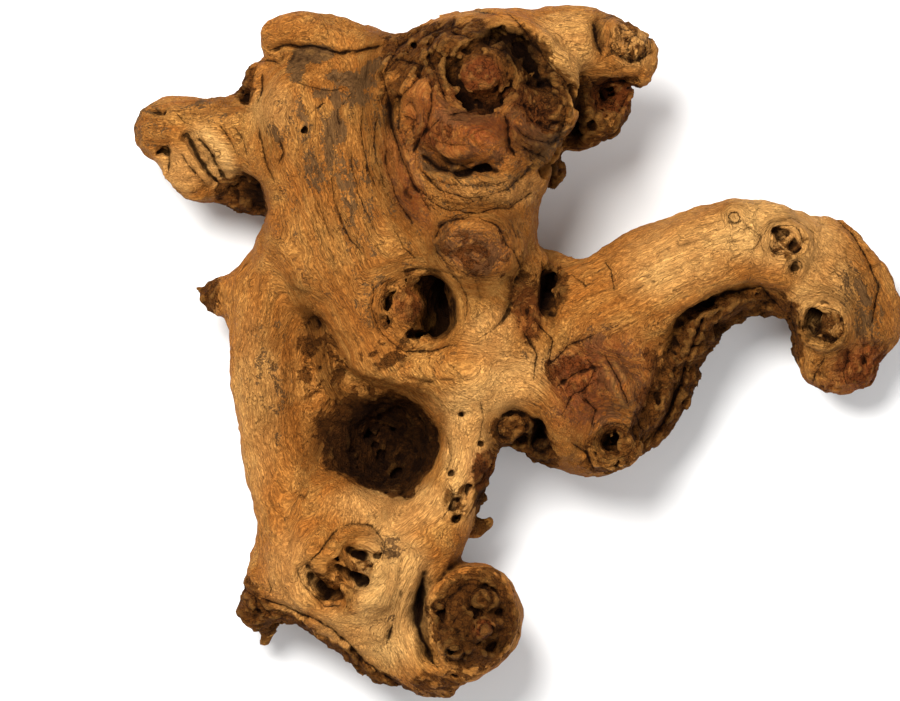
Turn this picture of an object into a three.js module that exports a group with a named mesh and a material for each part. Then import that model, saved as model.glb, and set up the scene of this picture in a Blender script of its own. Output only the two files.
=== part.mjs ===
// Mopani driftwood: the weathered crown of a root, blasted clean, lying on a table.
// Millimetres. X runs along its length, Y across it, and Z up from the table.
// The wood grew as one piece, so it is one closed solid: thick limbs that flow into each
// other, with burls, knots and broken stubs on them, and hollows rotted into them.
import * as THREE from "three";
import { ImprovedNoise } from "three/addons/math/ImprovedNoise.js";

// Driving dimensions
const overallLength = 290; // from the left arm's tip to the outer edge of the right arm
const gridStep = 2.5; // spacing of the points where the wood's surface is felt out
const triangleBudget = 11400; // triangles left after flat stretches are merged
const margin = 8; // empty space kept round the wood while it is meshed
const swellHeight = 1.5; // slow swelling of every surface
const swellLength = 24;
const furrowDepth = 1; // creases between the swellings, worn by water and sand
const furrowLength = 19;
const furrowWidth = 0.2; // as a share of the noise that draws them
const footDepth = 0.3; // corners this close to the table lie on it

// A limb runs through stations [x, y, z, radius]. depth is its thickness along Z as a share
// of its width. blend is how far it flows into what is there already, and carve cuts it away.
function limb(stations, { blend = 8, depth = 1, carve = false } = {}) {
  const stepsPerStation = 3;
  const steps = (stations.length - 1) * stepsPerStation;
  const line = new THREE.CatmullRomCurve3(stations.map(([x, y, z]) => new THREE.Vector3(x, y, z)));
  const points = [];
  for (let i = 0; i <= steps; i++) {
    const here = Math.min(Math.floor(i / stepsPerStation), stations.length - 2);
    const share = i / stepsPerStation - here;
    const radius = THREE.MathUtils.lerp(stations[here][3], stations[here + 1][3], share);
    points.push({ at: line.getPoint(i / steps), radius });
  }
  const reach = new THREE.Box3();
  for (const { at, radius } of points) {
    reach.expandByPoint(at.clone().addScalar(radius));
    reach.expandByPoint(at.clone().subScalar(radius));
  }
  const slope = Math.min(1, depth);
  const distance = (x, y, z) => {
    let nearest = Infinity;
    for (let i = 1; i < points.length; i++) {
      const a = points[i - 1];
      const b = points[i];
      const ex = b.at.x - a.at.x;
      const ey = b.at.y - a.at.y;
      const ez = b.at.z - a.at.z;
      const px = x - a.at.x;
      const py = y - a.at.y;
      const pz = z - a.at.z;
      const along = (px * ex + py * ey + pz * ez) / (ex * ex + ey * ey + ez * ez);
      const t = Math.min(1, Math.max(0, along));
      const away = Math.hypot(px - t * ex, py - t * ey, (pz - t * ez) / depth);
      nearest = Math.min(nearest, away - a.radius - t * (b.radius - a.radius));
    }
    return nearest * slope;
  };
  return { blend, carve, reach, distance };
}

// A lump is an ellipsoid: a burl, a knot or, carved, a hollow. turn is its angle about Z, in
// degrees, and lean the angle by which its top leans towards +X after that.
function lump(at, radii, { blend = 8, turn = 0, lean = 0, carve = false } = {}) {
  const [rx, ry, rz] = radii;
  const rotation = new THREE.Euler(
    0,
    THREE.MathUtils.degToRad(lean),
    THREE.MathUtils.degToRad(turn),
    "ZYX",
  );
  const inverse = new THREE.Matrix4().makeRotationFromEuler(rotation).invert();
  const centre = new THREE.Vector3(...at);
  const size = new THREE.Vector3().setScalar(2 * Math.max(...radii));
  const reach = new THREE.Box3().setFromCenterAndSize(centre, size);
  const local = new THREE.Vector3();
  const distance = (x, y, z) => {
    local.set(x, y, z).sub(centre).applyMatrix4(inverse);
    const shell = Math.hypot(local.x / rx, local.y / ry, local.z / rz);
    const steepness = Math.hypot(local.x / rx ** 2, local.y / ry ** 2, local.z / rz ** 2);
    return steepness ? (shell * (shell - 1)) / steepness : -Math.min(rx, ry, rz);
  };
  return { blend, carve, reach, distance };
}

// The thick limbs that everything else grows on.
const limbs = [
  // trunk, from the crown down to the knee where the right arm leaves
  limb([[-60, 104, 52, 19], [-64, 84, 52, 27], [-58, 60, 52, 31], [-52, 36, 50, 31],
    [-40, 14, 50, 29], [-24, -2, 48, 24]], { depth: 0.88 }),
  limb([[-34, 40, 54, 30], [-20, 22, 50, 30], [-8, 4, 48, 24]], { depth: 0.85, blend: 12 }),
  limb([[-84, 102, 52, 13], [-80, 82, 55, 15.5], [-74, 62, 55, 17], [-72, 44, 52, 17]],
    { depth: 0.95, blend: 14 }),
  // left flare and the root that runs down from it to the foot
  limb([[-72, 44, 48, 17], [-89, 24, 42, 14], [-95, -4, 36, 13], [-92, -34, 34, 12],
    [-84, -60, 36, 13], [-78, -80, 38, 17]], { depth: 0.95, blend: 12 }),
  limb([[-92, 24, 36, 13], [-108, 21, 30, 8], [-116, 21, 27, 4.5]], { blend: 8 }),
  lump([-72, 2, 28], [20, 28, 14], { blend: 10 }), // web between that root and the trunk
  // roots that cross below the great hollow and make its floor
  limb([[-92, -14, 28, 11], [-70, -26, 20, 12], [-44, -32, 19, 12], [-20, -28, 34, 13]]),
  limb([[-62, 12, 30, 14], [-56, -12, 21, 12], [-52, -36, 18, 12], [-56, -62, 28, 14]]),
  limb([[-90, -44, 28, 10], [-66, -50, 20, 11], [-40, -52, 24, 11], [-24, -54, 38, 11]]),
  limb([[-78, 0, 24, 10], [-76, -24, 20, 11], [-74, -52, 26, 11]]),
  limb([[-48, 4, 32, 14], [-40, -16, 24, 11], [-32, -36, 24, 11]]),
  // ribs of the underside
  limb([[-66, 108, 36, 12], [-58, 70, 29, 12], [-44, 30, 29, 12], [-14, 4, 30, 12]]),
  limb([[-84, 66, 36, 10], [-66, 40, 31, 11], [-34, 38, 31, 11], [-4, 14, 32, 10]]),
  limb([[-16, -12, 30, 11], [18, -6, 28, 12], [52, 16, 30, 11], [88, 36, 28, 9]]),
  // two lobes of the crown that point left
  limb([[-90.5, 117.5, 56, 7], [-79, 118.5, 60, 10], [-62, 112, 60, 11], [-46, 105, 62, 12]],
    { blend: 4 }),
  limb([[-94, 101.5, 48, 8.5], [-78, 101, 54, 11.5], [-60, 98, 54, 15]], { blend: 4 }),
  // left arm with its round end
  limb([[-118, 83, 40, 11.5], [-96, 80, 48, 14.5], [-74, 76, 52, 19]], { blend: 12 }),
  lump([-130, 83.5, 35], [15, 13, 13.5], { blend: 5, turn: 12 }),
  // bridge along the right side of the great hollow
  limb([[-18, -4, 50, 18], [-16, -24, 52, 12], [-19, -44, 50, 11.5], [-27, -60, 48, 12],
    [-38, -76, 44, 17]]),
  // foot
  limb([[-62, -64, 42, 18], [-66, -82, 40, 24], [-54, -98, 36, 20.5], [-46, -110, 32, 16.5]],
    { depth: 0.88 }),
  limb([[-74, -82, 36, 17], [-90, -90, 30, 12], [-99, -97, 26, 7]]),
  limb([[-84, -66, 38, 8], [-90, -80, 30, 7.5]]),
  // right arm, over its arch and down to the table
  limb([[-10, -4, 48, 24], [14, 6, 46, 25], [38, 17, 46, 21.5], [60, 28, 46, 23],
    [82, 36, 43, 21], [100, 34.5, 38, 19.5], [116, 25, 33, 18], [124, 8, 28, 18],
    [123, 1, 25, 17.5]], { depth: 0.95 }),
  // broad shoulder under the right arm
  lump([22, -16, 40], [28, 30, 26]),
  lump([42, -9, 38], [20, 23, 24]),
  lump([28, -29, 38], [21, 18, 23], { blend: 6 }),
];

// Burls, knots and ridges that swell out of the limbs.
const burls = [
  lump([-15, 89, 62], [35, 39, 42], { blend: 10 }), // the great burl of the crown
  lump([-17, 53, 61], [22.5, 30, 36], { blend: 16 }), // its lower bulge
  lump([-13, 39, 80], [16.5, 12.5, 12], { blend: 4, turn: -15 }), // oval knot on that bulge
  lump([-16, 79, 95], [16, 8, 9], { blend: 4, turn: 4 }), // brow over its crease
  limb([[-32, 63, 82, 4], [-16, 57, 89.5, 4], [0, 62, 82, 4]], { blend: 4 }), // lip below it
  limb([[-46, 106, 78, 6], [-50, 88, 76, 6.5], [-44, 68, 78, 6], [-31, 54, 80, 5]], { blend: 6 }),
  limb([[-40, 96, 86, 4], [-42, 80, 84, 4.5], [-36, 66, 86, 4]], { blend: 4 }),
  limb([[-5, 121, 76, 7], [5, 116.5, 84, 7], [14, 107, 84, 7], [22, 98, 74, 7]], { blend: 5 }),
  lump([13.5, 91.5, 79], [11, 12, 14], { blend: 2 }), // whorled knob beside the burl
  limb([[10, 82, 82, 5], [7, 73, 80, 5], [8, 62, 70, 5]], { blend: 5 }),
  limb([[-4, 117, 66, 11], [14, 115, 66, 15], [30, 115, 62, 14], [44, 110, 55, 11.5]],
    { blend: 6 }),
  lump([40, 116, 63], [10, 8.5, 6.5], { blend: 2.5, turn: -20 }), // round scar on the right lobe
  lump([24, 91.5, 46], [21, 16.5, 22], { blend: 4, turn: 22 }), // lobe under it
  lump([11.5, 67.5, 46], [7.2, 8.7, 13], { blend: 3 }), // broken flange below that
  limb([[-127, 82, 36, 12], [-121.5, 68, 37, 10.5], [-117, 65, 33, 9]], { blend: 4 }),
  limb([[-108, 78, 38, 13], [-100, 64, 33, 12.5], [-94, 58, 32, 8]], { blend: 4 }),
  limb([[-127, 80, 46, 3.5], [-117, 68, 47, 4]], { blend: 3 }), // split ridges of the left arm
  limb([[-115, 84, 50, 3.5], [-104, 69, 50, 4]], { blend: 3 }),
  limb([[-86, 104, 60, 4], [-78, 88, 68, 4], [-72, 70, 72, 4], [-66, 50, 71, 4]], { blend: 7 }),
  limb([[-60, 94, 70, 4], [-55, 74, 75, 4], [-48, 52, 77, 4], [-42, 34, 75, 4]], { blend: 7 }),
  lump([-37, 16, 73], [16, 15, 9], { blend: 5 }), // swelling round the trunk's knot hole
  limb([[-56, -6, 60, 5], [-36, -8, 68, 4], [-12, -10, 69, 5], [6, -16, 66, 5]], { blend: 5 }),
  limb([[-16, 18, 72, 5], [0, 24, 68, 4.5], [10, 34, 60, 4]], { blend: 5 }),
  lump([-17, -101, 42], [20.3, 21, 25], { blend: 2.5 }), // round stump beside the foot
  lump([-30, -116, 32], [15, 14.5, 22], { blend: 7 }),
  limb([[-30, -92, 60, 4], [-20, -84, 60, 4], [-6, -88, 58, 4], [-1, -102, 58, 4],
    [-7, -115, 52, 4], [-20, -121, 48, 4]], { blend: 3 }), // its raised rim
  lump([-12, -93, 66], [6, 5, 4], { blend: 2 }),
  lump([-11, -105, 67], [5, 5, 4.5], { blend: 2 }),
  lump([-23, -111, 62], [5, 5, 5], { blend: 2 }),
  lump([-62, -84, 58], [18, 14, 8], { blend: 6, turn: -30 }), // swelling round the foot's pits
  lump([1, -29, 44], [11, 9, 15], { blend: 4 }), // small knots under the knee
  lump([9.5, -35, 40], [5, 8, 12], { blend: 3 }),
  limb([[-15, -54, 40, 4.5], [-10.5, -57, 38, 2]], { blend: 3 }), // spurs on the bridge
  limb([[-26, -66, 38, 6], [-15, -67, 35, 4], [-7.5, -64, 34, 1.6]], { blend: 3 }),
  limb([[-93, -98, 26, 6], [-94, -106, 20, 3.2], [-94, -113, 17, 1.6]], { blend: 3 }), // foot spur
  lump([13, 24, 38], [12, 13.5, 18], { blend: 5 }), // neck between the burl and the arm
  limb([[118, 43, 34, 8.5], [130, 30, 33, 9.5], [137.5, 18, 30, 8], [138, 6, 27, 8]], { blend: 4 }),
  limb([[60, 44, 60, 5], [80, 51, 56, 5], [100, 49, 50, 5], [114, 40, 46, 5]], { blend: 5 }),
  lump([102, 41, 55], [10, 9.5, 6], { blend: 3 }), // knots of the right arm
  lump([117, 9, 45], [10, 11, 6], { blend: 3 }),
  limb([[98, 19, 36, 6], [87, 18.5, 35, 5.5], [76, 11, 34, 6], [68, 0, 34, 5.5],
    [63, -13, 34, 6], [55, -26, 34, 6], [44, -36, 36, 6]], { blend: 3 }), // broken edge
  lump([61, 7, 40], [13.5, 15, 20], { blend: 4 }),
  limb([[33, -2, 64, 4.5], [38, -12, 66, 5], [42, -22, 62, 4.5]], { blend: 4 }),
  limb([[8, -8, 68, 4], [16, -22, 66, 4.5], [20, -36, 58, 4.5]], { blend: 4 }),
  lump([37, -34, 56], [11, 11, 8], { blend: 3 }), // ringed knot of the shoulder
];

// The feet that it stands on.
const feet = [
  limb([[-34, -108, 26, 15], [-33, -110, 5, 10.5]], { blend: 8 }),
  limb([[124, 4, 22, 14], [123, 3, 4, 10.5]], { blend: 6 }),
  limb([[-14, 98, 34, 22], [-8, 104, 6, 12]], { blend: 10 }),
  limb([[-106, 76, 32, 12], [-110, 74, 5, 9.5]], { blend: 8 }),
];

// Hollows, from the great one beside the bridge down to knot holes and clefts.
const hollows = [
  lump([-48, -34.5, 64], [22, 22.5, 44], { carve: true, blend: 3 }),
  limb([[-80, 14, 70, 7], [-76, -4, 66, 9], [-66, -22, 62, 9]], { carve: true, blend: 5, depth: 2 }),
  lump([-30.5, 16, 76], [8, 12.5, 28], { carve: true, blend: 1.5 }), // knot hole in the trunk
  limb([[-36, 26, 82, 3], [-46, 24, 80, 3], [-49.5, 15, 79, 3], [-44, 6, 79, 3], [-36, 4, 80, 3]],
    { carve: true, blend: 1.5, depth: 1.6 }),
  lump([-12, 102, 106], [15, 12, 18], { carve: true, blend: 1.5 }), // knot hole in the burl
  limb([[-2, 118, 95, 4.5], [4, 112, 90, 6], [8, 103, 87, 5]], { carve: true, blend: 2 }),
  limb([[-33, 72, 94, 2.6], [-22, 68, 100, 3.2], [-6, 68, 101, 2.4]],
    { carve: true, blend: 2, depth: 2.4 }), // crease under the brow
  limb([[-48, 92, 84, 2.4], [-48, 76, 84, 2.6], [-40, 58, 84, 2.4]],
    { carve: true, blend: 3, depth: 2 }),
  limb([[23.5, 101, 74, 2.5], [24.5, 88, 68, 3], [20, 77, 62, 3]],
    { carve: true, blend: 2, depth: 3 }), // cleft beside the whorled knob
  lump([37, 96, 62], [9, 7, 14], { carve: true, blend: 2, turn: 20 }), // broken pocket
  limb([[8, 74, 62, 3], [10, 62, 54, 3.5]], { carve: true, blend: 2, depth: 3 }),
  limb([[-96, 110, 62, 2.5], [-84, 109.5, 66, 2.5], [-70, 106, 72, 2]],
    { carve: true, blend: 3, depth: 3 }), // gap between the two left lobes
  lump([-103, 60, 54], [9, 7, 15], { carve: true, blend: 3 }),
  limb([[-136, 76, 52, 2.5], [-130, 77, 52, 2.5]], { carve: true, blend: 2, depth: 2 }),
  limb([[-33, -82, 70, 3.4], [-35.5, -96, 68, 3.4], [-33, -114, 60, 3]],
    { carve: true, blend: 2, depth: 5 }), // cleft between the foot and the stump
  limb([[-62, -75, 68, 3.6], [-56, -78, 68, 3.8]], { carve: true, blend: 1.5, depth: 3.4 }),
  limb([[-68, -81.5, 68, 3.4], [-57, -87.5, 68, 3.8]], { carve: true, blend: 1.5, depth: 3.4 }),
  limb([[-79, -84, 66, 3.6], [-67, -94, 68, 4.2]], { carve: true, blend: 1.5, depth: 3.6 }),
  limb([[108, 46, 66, 4], [97, 37, 66, 4]], { carve: true, blend: 1.5, depth: 2 }),
  lump([113.5, 10, 54], [5, 8, 9], { carve: true, blend: 1.5 }),
  lump([36, -34, 70], [6, 6, 14], { carve: true, blend: 2 }),
  limb([[90, 20, 56, 4], [98, 17, 48, 5], [101, 8, 44, 4]], { carve: true, blend: 3 }),
  limb([[46, -32, 58, 2.6], [53, -18, 58, 2.6], [58, -3, 58, 2.6], [64, 12, 58, 2.6],
    [73, 18, 57, 2.6], [87, 23, 55, 2.6]], { carve: true, blend: 2, depth: 3 }), // cleft behind the broken edge
  limb([[13, 30, 70, 3], [12, 18, 68, 4], [14, 8, 72, 2.5]], { carve: true, blend: 2, depth: 3 }),
  limb([[-4, -38, 62, 3], [4, -40, 58, 3.5], [10, -27, 58, 3]], { carve: true, blend: 2, depth: 2 }),
  // arches under the wood, between its feet
  lump([60, 0, -6], [44, 34, 24], { carve: true, blend: 8 }),
  lump([-50, 34, -8], [34, 34, 24], { carve: true, blend: 8 }),
];

// Pegs of old branches that stand in the knot holes.
const pegs = [
  limb([[-40, 16, 54, 7.5], [-40.5, 16.5, 72, 6.5]], { blend: 2 }),
  lump([-40, 17, 77], [4.5, 4, 4], { blend: 2 }),
  limb([[-13, 103, 82, 9.5], [-13, 102.5, 92, 9]], { blend: 2 }),
  lump([-14, 101, 98], [6, 5, 5], { blend: 2 }),
];

const growth = [...limbs, ...burls, ...feet, ...hollows, ...pegs];

// Joins two distances so that the solids behind them flow together over blend millimetres.
function smoothMin(a, b, blend) {
  const near = Math.max(0, blend - Math.abs(a - b)) / blend;
  return Math.min(a, b) - (near * near * blend) / 4;
}

const noise = new ImprovedNoise();

// Distance from the wood's surface: negative inside, positive outside.
function woodField(x, y, z) {
  let distance = margin;
  for (const form of growth) {
    const room = form.blend + margin;
    const { min, max } = form.reach;
    if (x < min.x - room || x > max.x + room || y < min.y - room || y > max.y + room) continue;
    const own = form.distance(x, y, z);
    distance = form.carve
      ? -smoothMin(-distance, own, form.blend)
      : smoothMin(distance, own, form.blend);
  }
  const swell = noise.noise(x / swellLength, y / swellLength, z / swellLength);
  const [u, v, w] = [x, y, z].map((value) => value / furrowLength + 7.3);
  const furrow = Math.max(0, 1 - Math.abs(noise.noise(u, v, w)) / furrowWidth);
  return Math.max(distance + swell * swellHeight + furrow * furrowDepth, -z);
}

// Corner orders of a tetrahedron that keep its handedness.
const cornerOrders = [[0, 1, 2, 3], [1, 0, 3, 2], [2, 3, 0, 1], [3, 2, 1, 0],
  [0, 2, 3, 1], [0, 3, 1, 2], [1, 2, 0, 3], [1, 3, 2, 0]];
// A cube's six tetrahedra. A corner's three bits say which side of the cube it is on.
const cubeTetrahedra = [[0, 1, 3, 7], [0, 3, 2, 7], [0, 2, 6, 7], [0, 6, 4, 7], [0, 4, 5, 7],
  [0, 5, 1, 7]];

// Meshes the zero level of a field over a box, cube by cube and tetrahedron by tetrahedron,
// which always gives a closed surface.
function meshField(field, box, step) {
  const size = box.getSize(new THREE.Vector3());
  const count = ["x", "y", "z"].map((axis) => Math.ceil(size[axis] / step) + 1);
  const stride = [1, count[0], count[0] * count[1]];
  const values = new Float32Array(count[0] * count[1] * count[2]);
  const place = (id) => [
    box.min.x + (id % count[0]) * step,
    box.min.y + (Math.floor(id / stride[1]) % count[1]) * step,
    box.min.z + Math.floor(id / stride[2]) * step,
  ];
  for (let id = 0; id < values.length; id++) values[id] = field(...place(id));

  const positions = [];
  const triangles = [];
  const crossings = new Map();
  const crossing = (a, b) => {
    const key = Math.min(a, b) * values.length + Math.max(a, b);
    if (!crossings.has(key)) {
      const share = THREE.MathUtils.clamp(values[a] / (values[a] - values[b]), 0.15, 0.85);
      const from = place(a);
      const to = place(b);
      crossings.set(key, positions.length / 3);
      positions.push(...from.map((v, i) => v + share * (to[i] - v)));
    }
    return crossings.get(key);
  };
  const cut = (ids) => {
    const inside = ids.map((id) => values[id] < 0);
    const total = inside.filter(Boolean).length;
    if (total === 0 || total === 4) return;
    const order = cornerOrders.find(([i, j]) =>
      total === 1 ? inside[i] : total === 3 ? !inside[i] : inside[i] && inside[j]);
    const [a, b, c, d] = order.map((i) => ids[i]);
    if (total === 1) triangles.push(crossing(a, b), crossing(a, c), crossing(a, d));
    if (total === 3) triangles.push(crossing(a, b), crossing(a, d), crossing(a, c));
    if (total === 2) {
      const [p, q, r, s] = [crossing(a, c), crossing(a, d), crossing(b, d), crossing(b, c)];
      triangles.push(p, q, r, p, r, s);
    }
  };
  for (let k = 0; k < count[2] - 1; k++)
    for (let j = 0; j < count[1] - 1; j++)
      for (let i = 0; i < count[0] - 1; i++) {
        const first = i + j * stride[1] + k * stride[2];
        const corner = (n) =>
          first + (n & 1) * stride[0] + ((n >> 1) & 1) * stride[1] + ((n >> 2) & 1) * stride[2];
        for (const tetrahedron of cubeTetrahedra) cut(tetrahedron.map(corner));
      }
  return { positions, triangles };
}

// Binary heap of edges, cheapest first.
class EdgeHeap {
  items = [];
  push(item) {
    let i = this.items.length;
    this.items.push(item);
    while (i > 0) {
      const parent = (i - 1) >> 1;
      if (this.items[parent].cost <= item.cost) break;
      this.items[i] = this.items[parent];
      i = parent;
    }
    this.items[i] = item;
  }
  pop() {
    const top = this.items[0];
    const last = this.items.pop();
    const total = this.items.length;
    if (!total) return top;
    let i = 0;
    for (let child = 1; child < total; child = 2 * i + 1) {
      if (child + 1 < total && this.items[child + 1].cost < this.items[child].cost) child++;
      if (this.items[child].cost >= last.cost) break;
      this.items[i] = this.items[child];
      i = child;
    }
    this.items[i] = last;
    return top;
  }
}

// Merges the vertices of a closed mesh, two at a time, until it has few enough triangles. The
// pair whose merging moves the surface least goes first, and no merge may fold or pinch it.
function simplify({ positions, triangles }, budget) {
  const points = [];
  for (let i = 0; i < positions.length; i += 3) points.push(new THREE.Vector3().fromArray(positions, i));
  const faces = [];
  for (let i = 0; i < triangles.length; i += 3) faces.push(triangles.slice(i, i + 3));
  const facesOf = points.map(() => new Set());
  const planes = points.map(() => new Float64Array(10)); // squared distance to a point's planes
  const age = new Uint32Array(points.length);
  const [u, v, w] = [new THREE.Vector3(), new THREE.Vector3(), new THREE.Vector3()];

  const normalOf = (a, b, c, out) => out.subVectors(b, a).cross(w.subVectors(c, a));
  faces.forEach((face, id) => {
    const [a, b, c] = face.map((n) => points[n]);
    const area = normalOf(a, b, c, u).length() / 2;
    if (area > 0) u.normalize();
    const d = -u.dot(a);
    const terms = [u.x * u.x, u.x * u.y, u.x * u.z, u.x * d, u.y * u.y, u.y * u.z, u.y * d,
      u.z * u.z, u.z * d, d * d];
    for (const n of face) {
      facesOf[n].add(id);
      terms.forEach((term, i) => (planes[n][i] += term * area));
    }
  });
  const costAt = (q, { x, y, z }) =>
    q[0] * x * x + 2 * q[1] * x * y + 2 * q[2] * x * z + 2 * q[3] * x + q[4] * y * y +
    2 * q[5] * y * z + 2 * q[6] * y + q[7] * z * z + 2 * q[8] * z + q[9];
  // The point nearest to all the planes of a pair, or the best of its ends and middle.
  const target = (a, b) => {
    const q = planes[a].map((term, i) => term + planes[b][i]);
    const matrix = new THREE.Matrix3().set(q[0], q[1], q[2], q[1], q[4], q[5], q[2], q[5], q[7]);
    const middle = points[a].clone().lerp(points[b], 0.5);
    const choices = [points[a].clone(), points[b].clone(), middle];
    const weight = q[0] + q[4] + q[7];
    if (matrix.determinant() > 1e-4 * weight ** 3) {
      const best = new THREE.Vector3(-q[3], -q[6], -q[8]).applyMatrix3(matrix.invert());
      if (best.distanceTo(middle) < points[a].distanceTo(points[b])) choices.push(best);
    }
    const costs = choices.map((p) => costAt(q, p));
    const best = costs.indexOf(Math.min(...costs));
    const length = 1e-3 * weight * points[a].distanceToSquared(points[b]);
    return { cost: costs[best] + length, at: choices[best], q };
  };
  const heap = new EdgeHeap();
  const offer = (a, b) => {
    const { cost, at, q } = target(a, b);
    heap.push({ cost, a, b, at, q, age: age[a] + age[b] });
  };
  const neighbours = (n) => {
    const found = new Set();
    for (const id of facesOf[n]) for (const m of faces[id]) if (m !== n) found.add(m);
    return found;
  };
  faces.forEach(([a, b, c]) => {
    for (const [m, n] of [[a, b], [b, c], [c, a]]) if (m < n) offer(m, n);
  });
  // How far from a sliver a triangle is. Its normal goes to out.
  const evenness = (corners, out) => {
    const sides = corners.map((p, i) => p.distanceToSquared(corners[(i + 1) % 3]));
    return normalOf(...corners, out).length() / Math.max(...sides);
  };
  const folds = (n, other, at) => {
    for (const id of facesOf[n]) {
      if (faces[id].includes(other)) continue;
      const before = evenness(faces[id].map((m) => points[m]), u);
      const after = evenness(faces[id].map((m) => (m === n ? at : points[m])), v);
      if (after < Math.min(0.1, before) || u.dot(v) < 0.1 * u.length() * v.length()) return true;
    }
    return false;
  };
  let left = faces.length;
  while (left > budget && heap.items.length) {
    const { a, b, at, q, age: then } = heap.pop();
    if (age[a] + age[b] !== then || !facesOf[a].size || !facesOf[b].size) continue;
    const aroundB = neighbours(b);
    const shared = [...neighbours(a)].filter((n) => aroundB.has(n));
    if (shared.length !== 2 || folds(a, b, at) || folds(b, a, at)) continue;
    points[a].copy(at);
    planes[a] = q;
    for (const id of facesOf[b]) {
      if (faces[id].includes(a)) {
        for (const n of faces[id]) facesOf[n].delete(id);
        left--;
      } else {
        faces[id] = faces[id].map((n) => (n === b ? a : n));
        facesOf[a].add(id);
      }
    }
    facesOf[b].clear();
    age[a] += points.length;
    for (const n of neighbours(a)) offer(Math.min(a, n), Math.max(a, n));
  }
  const kept = new Map();
  const result = { positions: [], triangles: [] };
  faces.forEach((face, id) => {
    if (!facesOf[face[0]].has(id)) return;
    for (const n of face) {
      if (!kept.has(n)) {
        kept.set(n, kept.size);
        result.positions.push(...points[n].toArray());
      }
      result.triangles.push(kept.get(n));
    }
  });
  return result;
}

// The wood's own size, with its lowest faces flat on the table and its middle over the origin.
function seat({ positions, triangles }) {
  const geometry = new THREE.BufferGeometry();
  geometry.setAttribute("position", new THREE.Float32BufferAttribute(positions, 3));
  geometry.setIndex(triangles);
  geometry.computeBoundingBox();
  const { min, max } = geometry.boundingBox;
  const scale = overallLength / (max.x - min.x);
  geometry.translate(-(min.x + max.x) / 2, -(min.y + max.y) / 2, -min.z);
  geometry.scale(scale, scale, scale);
  const corners = geometry.attributes.position;
  for (let i = 0; i < corners.count; i++)
    if (corners.getZ(i) < footDepth) corners.setZ(i, 0);
  geometry.computeVertexNormals();
  return geometry;
}

const space = new THREE.Box3();
for (const form of growth) if (!form.carve) space.union(form.reach);
space.expandByScalar(margin);
space.min.z = -gridStep / 2;

const wood = new THREE.Mesh(
  seat(simplify(meshField(woodField, space, gridStep), triangleBudget)),
  new THREE.MeshStandardMaterial({ color: "#b07a45", roughness: 0.8, metalness: 0 }),
);
wood.name = "mopani_wood";

const driftwood = new THREE.Group();
driftwood.add(wood);
export default driftwood;
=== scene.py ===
import math
import time
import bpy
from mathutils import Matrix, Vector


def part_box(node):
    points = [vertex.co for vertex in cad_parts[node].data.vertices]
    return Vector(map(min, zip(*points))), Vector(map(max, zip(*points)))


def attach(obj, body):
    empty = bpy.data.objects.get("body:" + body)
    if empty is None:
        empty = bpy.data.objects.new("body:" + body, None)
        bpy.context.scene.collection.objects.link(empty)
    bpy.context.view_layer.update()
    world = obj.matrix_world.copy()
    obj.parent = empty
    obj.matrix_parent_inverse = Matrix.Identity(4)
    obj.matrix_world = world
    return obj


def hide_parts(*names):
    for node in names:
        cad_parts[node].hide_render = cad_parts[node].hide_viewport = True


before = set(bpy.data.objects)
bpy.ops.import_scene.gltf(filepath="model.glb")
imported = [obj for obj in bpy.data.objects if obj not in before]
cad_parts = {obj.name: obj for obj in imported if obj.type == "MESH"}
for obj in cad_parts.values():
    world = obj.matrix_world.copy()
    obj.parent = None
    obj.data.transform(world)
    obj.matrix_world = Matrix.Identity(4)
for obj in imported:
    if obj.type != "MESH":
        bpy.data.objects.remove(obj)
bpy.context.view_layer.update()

from types import SimpleNamespace

import bpy
from mathutils import Vector
import numpy as np
import openvdb as vdb

startTime = time.time()


def stage(text):
    print("[wood]", text, "after", round(time.time() - startTime, 1), "s")


# Coordinates below are millimetres. A plan point is measured on the wood as it lies, from a
# point near its middle, and planShift and planScale bring it into the frame.
planShift = np.array([-1.107, 0.811, 0.0])
planScale = 0.99615

wood = {
    "voxel": 0.72,  # side of a cell of the volume the fine form is worked in
    "margin": 4.0,  # empty room round the wood in that volume
    "band": 2.6,  # how far from the surface the volume is worked
    "lattice": 3.0,  # spacing at which grain and places are worked out
    "offEdge": 30.0,  # height taken for a plan point that lies beside the wood
    "facetSoftness": 1.1,  # how far the solid's facets are rounded
    "swellHeight": 0.7,  # low waves of every surface
    "swellLength": 9.0,
    "furrowDepth": 0.45,  # broad furrows along the grain
    "furrowSize": np.array([4.0, 4.0, 1.2]),  # across the grain twice, along it in grain units
    "grainHeight": 0.28,  # small bumps of every surface
    "grainLength": 2.6,
    "fibreHeight": 0.38,  # raised fibres along the grain
    "fibreSize": np.array([1.7, 1.7, 0.8]),
    "hairSize": np.array([1.1, 1.1, 0.7]),  # the finer fibres between them
    "roughHeight": 1.35,  # crumbling of the dark, broken places
    "chipHeight": 1.0,  # flat chips of broken ends and rims
    "chipLength": 5.5,
    "pitDepth": 1.44,  # worm and rot pits in those places
    "curlLength": 6.0,  # how often the fibres wander, and how far
    "curlReach": [1.3, 1.3, 0.35],
    "furrowPatches": 17.0,  # size of the areas with deeper furrows
    "crumbleLength": 4.6,
    "creaseLength": 7.5,  # spacing of the clefts in crumbling wood
    "pitSpacing": 3.1,
    "hollowEdge": 0.7,  # how ragged the cut hollows and pits are
    "nearReach": 1.3,  # how far round a point the wood is counted for the painted shade of its furrow, and of its hollow
    "farReach": 7.0,
    "triangles": 194000,
    "seed": 11,
}
cell = wood["voxel"]


def plan(points):
    return (np.asarray(points, float) + planShift) * planScale


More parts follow.
